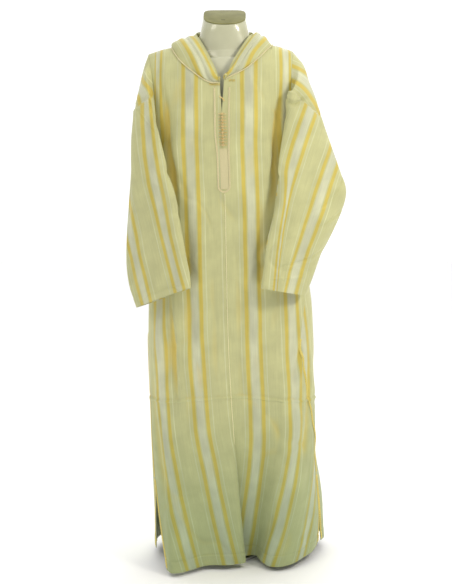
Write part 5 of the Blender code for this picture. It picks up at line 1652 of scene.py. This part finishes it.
def oval(half, fore, rear, heights, backRound=form["round"]):
    # a ring of the form, at one height or at a height for each x and y
    angles = np.linspace(0.0, 2 * math.pi, form["columns"], endpoint=False)
    power = 2 / np.where(np.sin(angles) > 0, form["round"], backRound)
    x = form["middle"] - half * signedPower(np.cos(angles), power)
    y = np.where(np.sin(angles) > 0, -fore, rear) * np.abs(np.sin(angles)) ** power
    z = heights(x, y) if callable(heights) else np.full(len(x), float(heights))
    return np.stack([x, y, z], axis=-1)


def shoulderRing(half, forward, lift):
    # a ring that closes the form under the robe's shoulders
    left = float(shoulderHeight(form["middle"] + half))
    right = float(shoulderHeight(form["middle"] - half))

    def heights(x, y):
        share = (x - form["middle"] + half) / (2 * half)
        return right + (left - right) * share - robe["wall"] - form["rest"] - form["fall"] * np.abs(y)

    ring = oval(half, *form["depth"], heights)
    # at the throat the ring comes forward, so that the neck runs smoothly into the chest
    ahead = bump(ring[:, 0], form["middle"], 46.0) * ramp(-ring[:, 1], 20.0, 46.0)
    ring[:, 1] -= forward * ahead
    ring[:, 2] += lift * ahead
    return ring


def capHeight(x, y):
    return form["capMiddle"] + form["capSlope"] * y


coarse = [oval(half, fore, rear, z) for z, half, fore, rear in form["sections"]]
coarse += [shoulderRing(*values) for values in form["shoulders"]]
coarse += [oval(half, fore, rear, z, neckRound) for z, half, fore, rear, neckRound in form["neck"][:-1]]
*topShape, topRound = form["neck"][-1][1:]
coarse.append(oval(*topShape, capHeight, topRound))
coarse = np.array(coarse)
fineSteps = np.linspace(0, len(coarse) - 1, (len(coarse) - 1) * form["rowsEach"] + 1)
chords = np.linalg.norm(np.diff(coarse, axis=0), axis=2, keepdims=True)
slopes = np.empty_like(coarse)
slopes[1:-1] = (coarse[2:] - coarse[:-2]) / (chords[1:] + chords[:-1])
slopes[0], slopes[-1] = (coarse[1] - coarse[0]) / chords[0], (coarse[-1] - coarse[-2]) / chords[-1]
i = np.clip(fineSteps.astype(int), 0, len(coarse) - 2)
rings = hermite((fineSteps - i)[:, None, None], coarse[i], slopes[i] * chords[i], coarse[i + 1],
                slopes[i + 1] * chords[i])
shell = tube("formShell", rings, bevel=form["rim"], angle=form["sharp"])
finished(shell, lacquerMaterial(), "ivory_gloss", "dress_form")

gap = robe["gap"]
lid = np.array([oval(*topShape, lambda x, y, up=up: capHeight(x, y) + up, topRound)
                for up in (gap, gap + form["capThick"])])
finished(tube("neckCap", lid, bevel=form["capRim"], angle=form["sharp"]), boardMaterial(), "cap_grey",
         "neck_cap")
# a thin dark strip laid on the cap: painted shade standing in for the inside of its slot
capSlot = {"width": 3.2, "thick": 0.25, "from": -7.0, "to": 3.0, "at": -22.0}
line = np.array([[x, capSlot["at"], capHeight(x, capSlot["at"]) + gap + form["capThick"] + 0.02]
                 for x in np.linspace(capSlot["from"], capSlot["to"], 8)])
slotOuts = np.broadcast_to(unit(np.array([0.0, -0.39, 0.92])), line.shape)
slotShade = ribbon("slotShade", line, slotOuts, capSlot["width"], capSlot["thick"])
finished(slotShade, slotShadeMaterial(), "cap_grey")


def disc(name, radius, low, high, sides, bevel):
    turn = np.linspace(0, 2 * math.pi, sides, endpoint=False)
    x, y = stand["place"]
    rings = [np.stack([x + radius * np.cos(turn), y + radius * np.sin(turn), np.full(sides, float(z))],
                      axis=-1) for z in (low, high)]
    return tube(name, np.array(rings), bevel=bevel, angle=form["sharp"])


steelFinish = steelMaterial()
finished(disc("basePlate", stand["base"], 0.0, stand["thick"], 128, stand["round"]), steelFinish,
         "stand_steel", "stand_base")
poleTop = form["sections"][0][0] - gap
finished(disc("standPole", stand["pole"], stand["thick"] + gap, poleTop, 48, stand["poleRound"]),
         steelFinish, "stand_steel", "stand_pole")
print("form and stand made")


# cut of the cloth

# each piece as cut: widest, longest and area in metres, the last after tapering
cuts = {
    "frontRightCloth": (0.33, 1.38, 0.36, ["formShell"]),
    "frontLeftCloth": (0.33, 1.38, 0.36, ["formShell"]),
    "backCloth": (0.66, 1.40, 0.86, ["formShell"]),
    "sleeveRightCloth": (0.42, 0.60, 0.216, ["frontRightCloth"]),
    "sleeveLeftCloth": (0.42, 0.62, 0.223, ["frontLeftCloth"]),
    "hoodCloth": (0.50, 0.40, 0.15, ["backCloth"]),
}
for name, (wideCut, longCut, area, rests) in cuts.items():
    print(name, "shows", round(areas[name], 3), "of", area)


# floor, light and camera

floorMesh = bpy.data.meshes.new("floor")
floorMesh.from_pydata([(-6, -6, 0), (6, -6, 0), (6, 6, 0), (-6, 6, 0)], [], [(0, 1, 2, 3)])
floorMesh.materials.append(paperMaterial())
floor = bpy.data.objects.new("floor", floorMesh)
bpy.context.scene.collection.objects.link(floor)

lighting = {
    # name: place, aim, size, watts, colour
    "key": ((1.35, -1.1, 2.0), (0, 0, 1.2), 0.5, 15.0, "#fff9ec"),
    "fill": ((-1.2, -1.3, 2.1), (0, 0, 1.25), 0.7, 6.0, "#fff9ec"),
    "back": ((0.6, 2.4, 2.4), (0, 0, 1.0), 1.8, 12.0, "#ffffff"),
    "world": (0.2, 1.12),       # before the object and behind it
    "overhead": 1.05,
}
for name in ("key", "fill", "back"):
    place, aim, size, watts, colour = lighting[name]
    lamp = bpy.data.lights.new(name, "AREA")
    lamp.shape, lamp.size, lamp.energy = "DISK", size, watts
    lamp.color = linear(colour)[:3]
    obj = bpy.data.objects.new(name, lamp)
    obj.location = place
    obj.rotation_euler = (Vector(aim) - Vector(place)).to_track_quat("-Z", "Y").to_euler()
    bpy.context.scene.collection.objects.link(obj)

# an even white sky, brighter behind the object and overhead
sky = bpy.data.worlds.new("studio")
sky.use_nodes = True
tree = sky.node_tree
glow = tree.nodes["Background"].inputs
glow["Color"].default_value = (1.0, 1.0, 1.0, 1.0)
place = addNode(tree, "TexCoord")
parts = addNode(tree, "SeparateXYZ", {}, {0: place.outputs["Generated"]})
before, behind = lighting["world"]
tone = addNode(tree, "MapRange", {1: -0.2, 2: 0.8, 3: before, 4: behind}, {0: parts.outputs[1]})
steep = addNode(tree, "Math", {"operation": "MULTIPLY"}, {0: parts.outputs[2], 1: parts.outputs[2]})
addNode(tree, "Math", {"operation": "MULTIPLY_ADD", 1: lighting["overhead"]}, {0: steep, 2: tone},
        glow["Strength"])
bpy.context.scene.world = sky
bpy.context.scene.view_settings.view_transform = "Standard"

camera = {"lens": 69.44, "sensor": 36.0, "place": (0.0054, -3.0, 1.25), "tilt": 80.538}
lens = bpy.data.cameras.new("studioCamera")
lens.sensor_fit = "VERTICAL"
lens.sensor_height = camera["sensor"]
lens.lens = camera["lens"]
lens.dof.use_dof = False
eye = bpy.data.objects.new("studioCamera", lens)
eye.location = camera["place"]
eye.rotation_euler = (math.radians(camera["tilt"]), 0.0, 0.0)
bpy.context.scene.collection.objects.link(eye)
bpy.context.scene.camera = eye
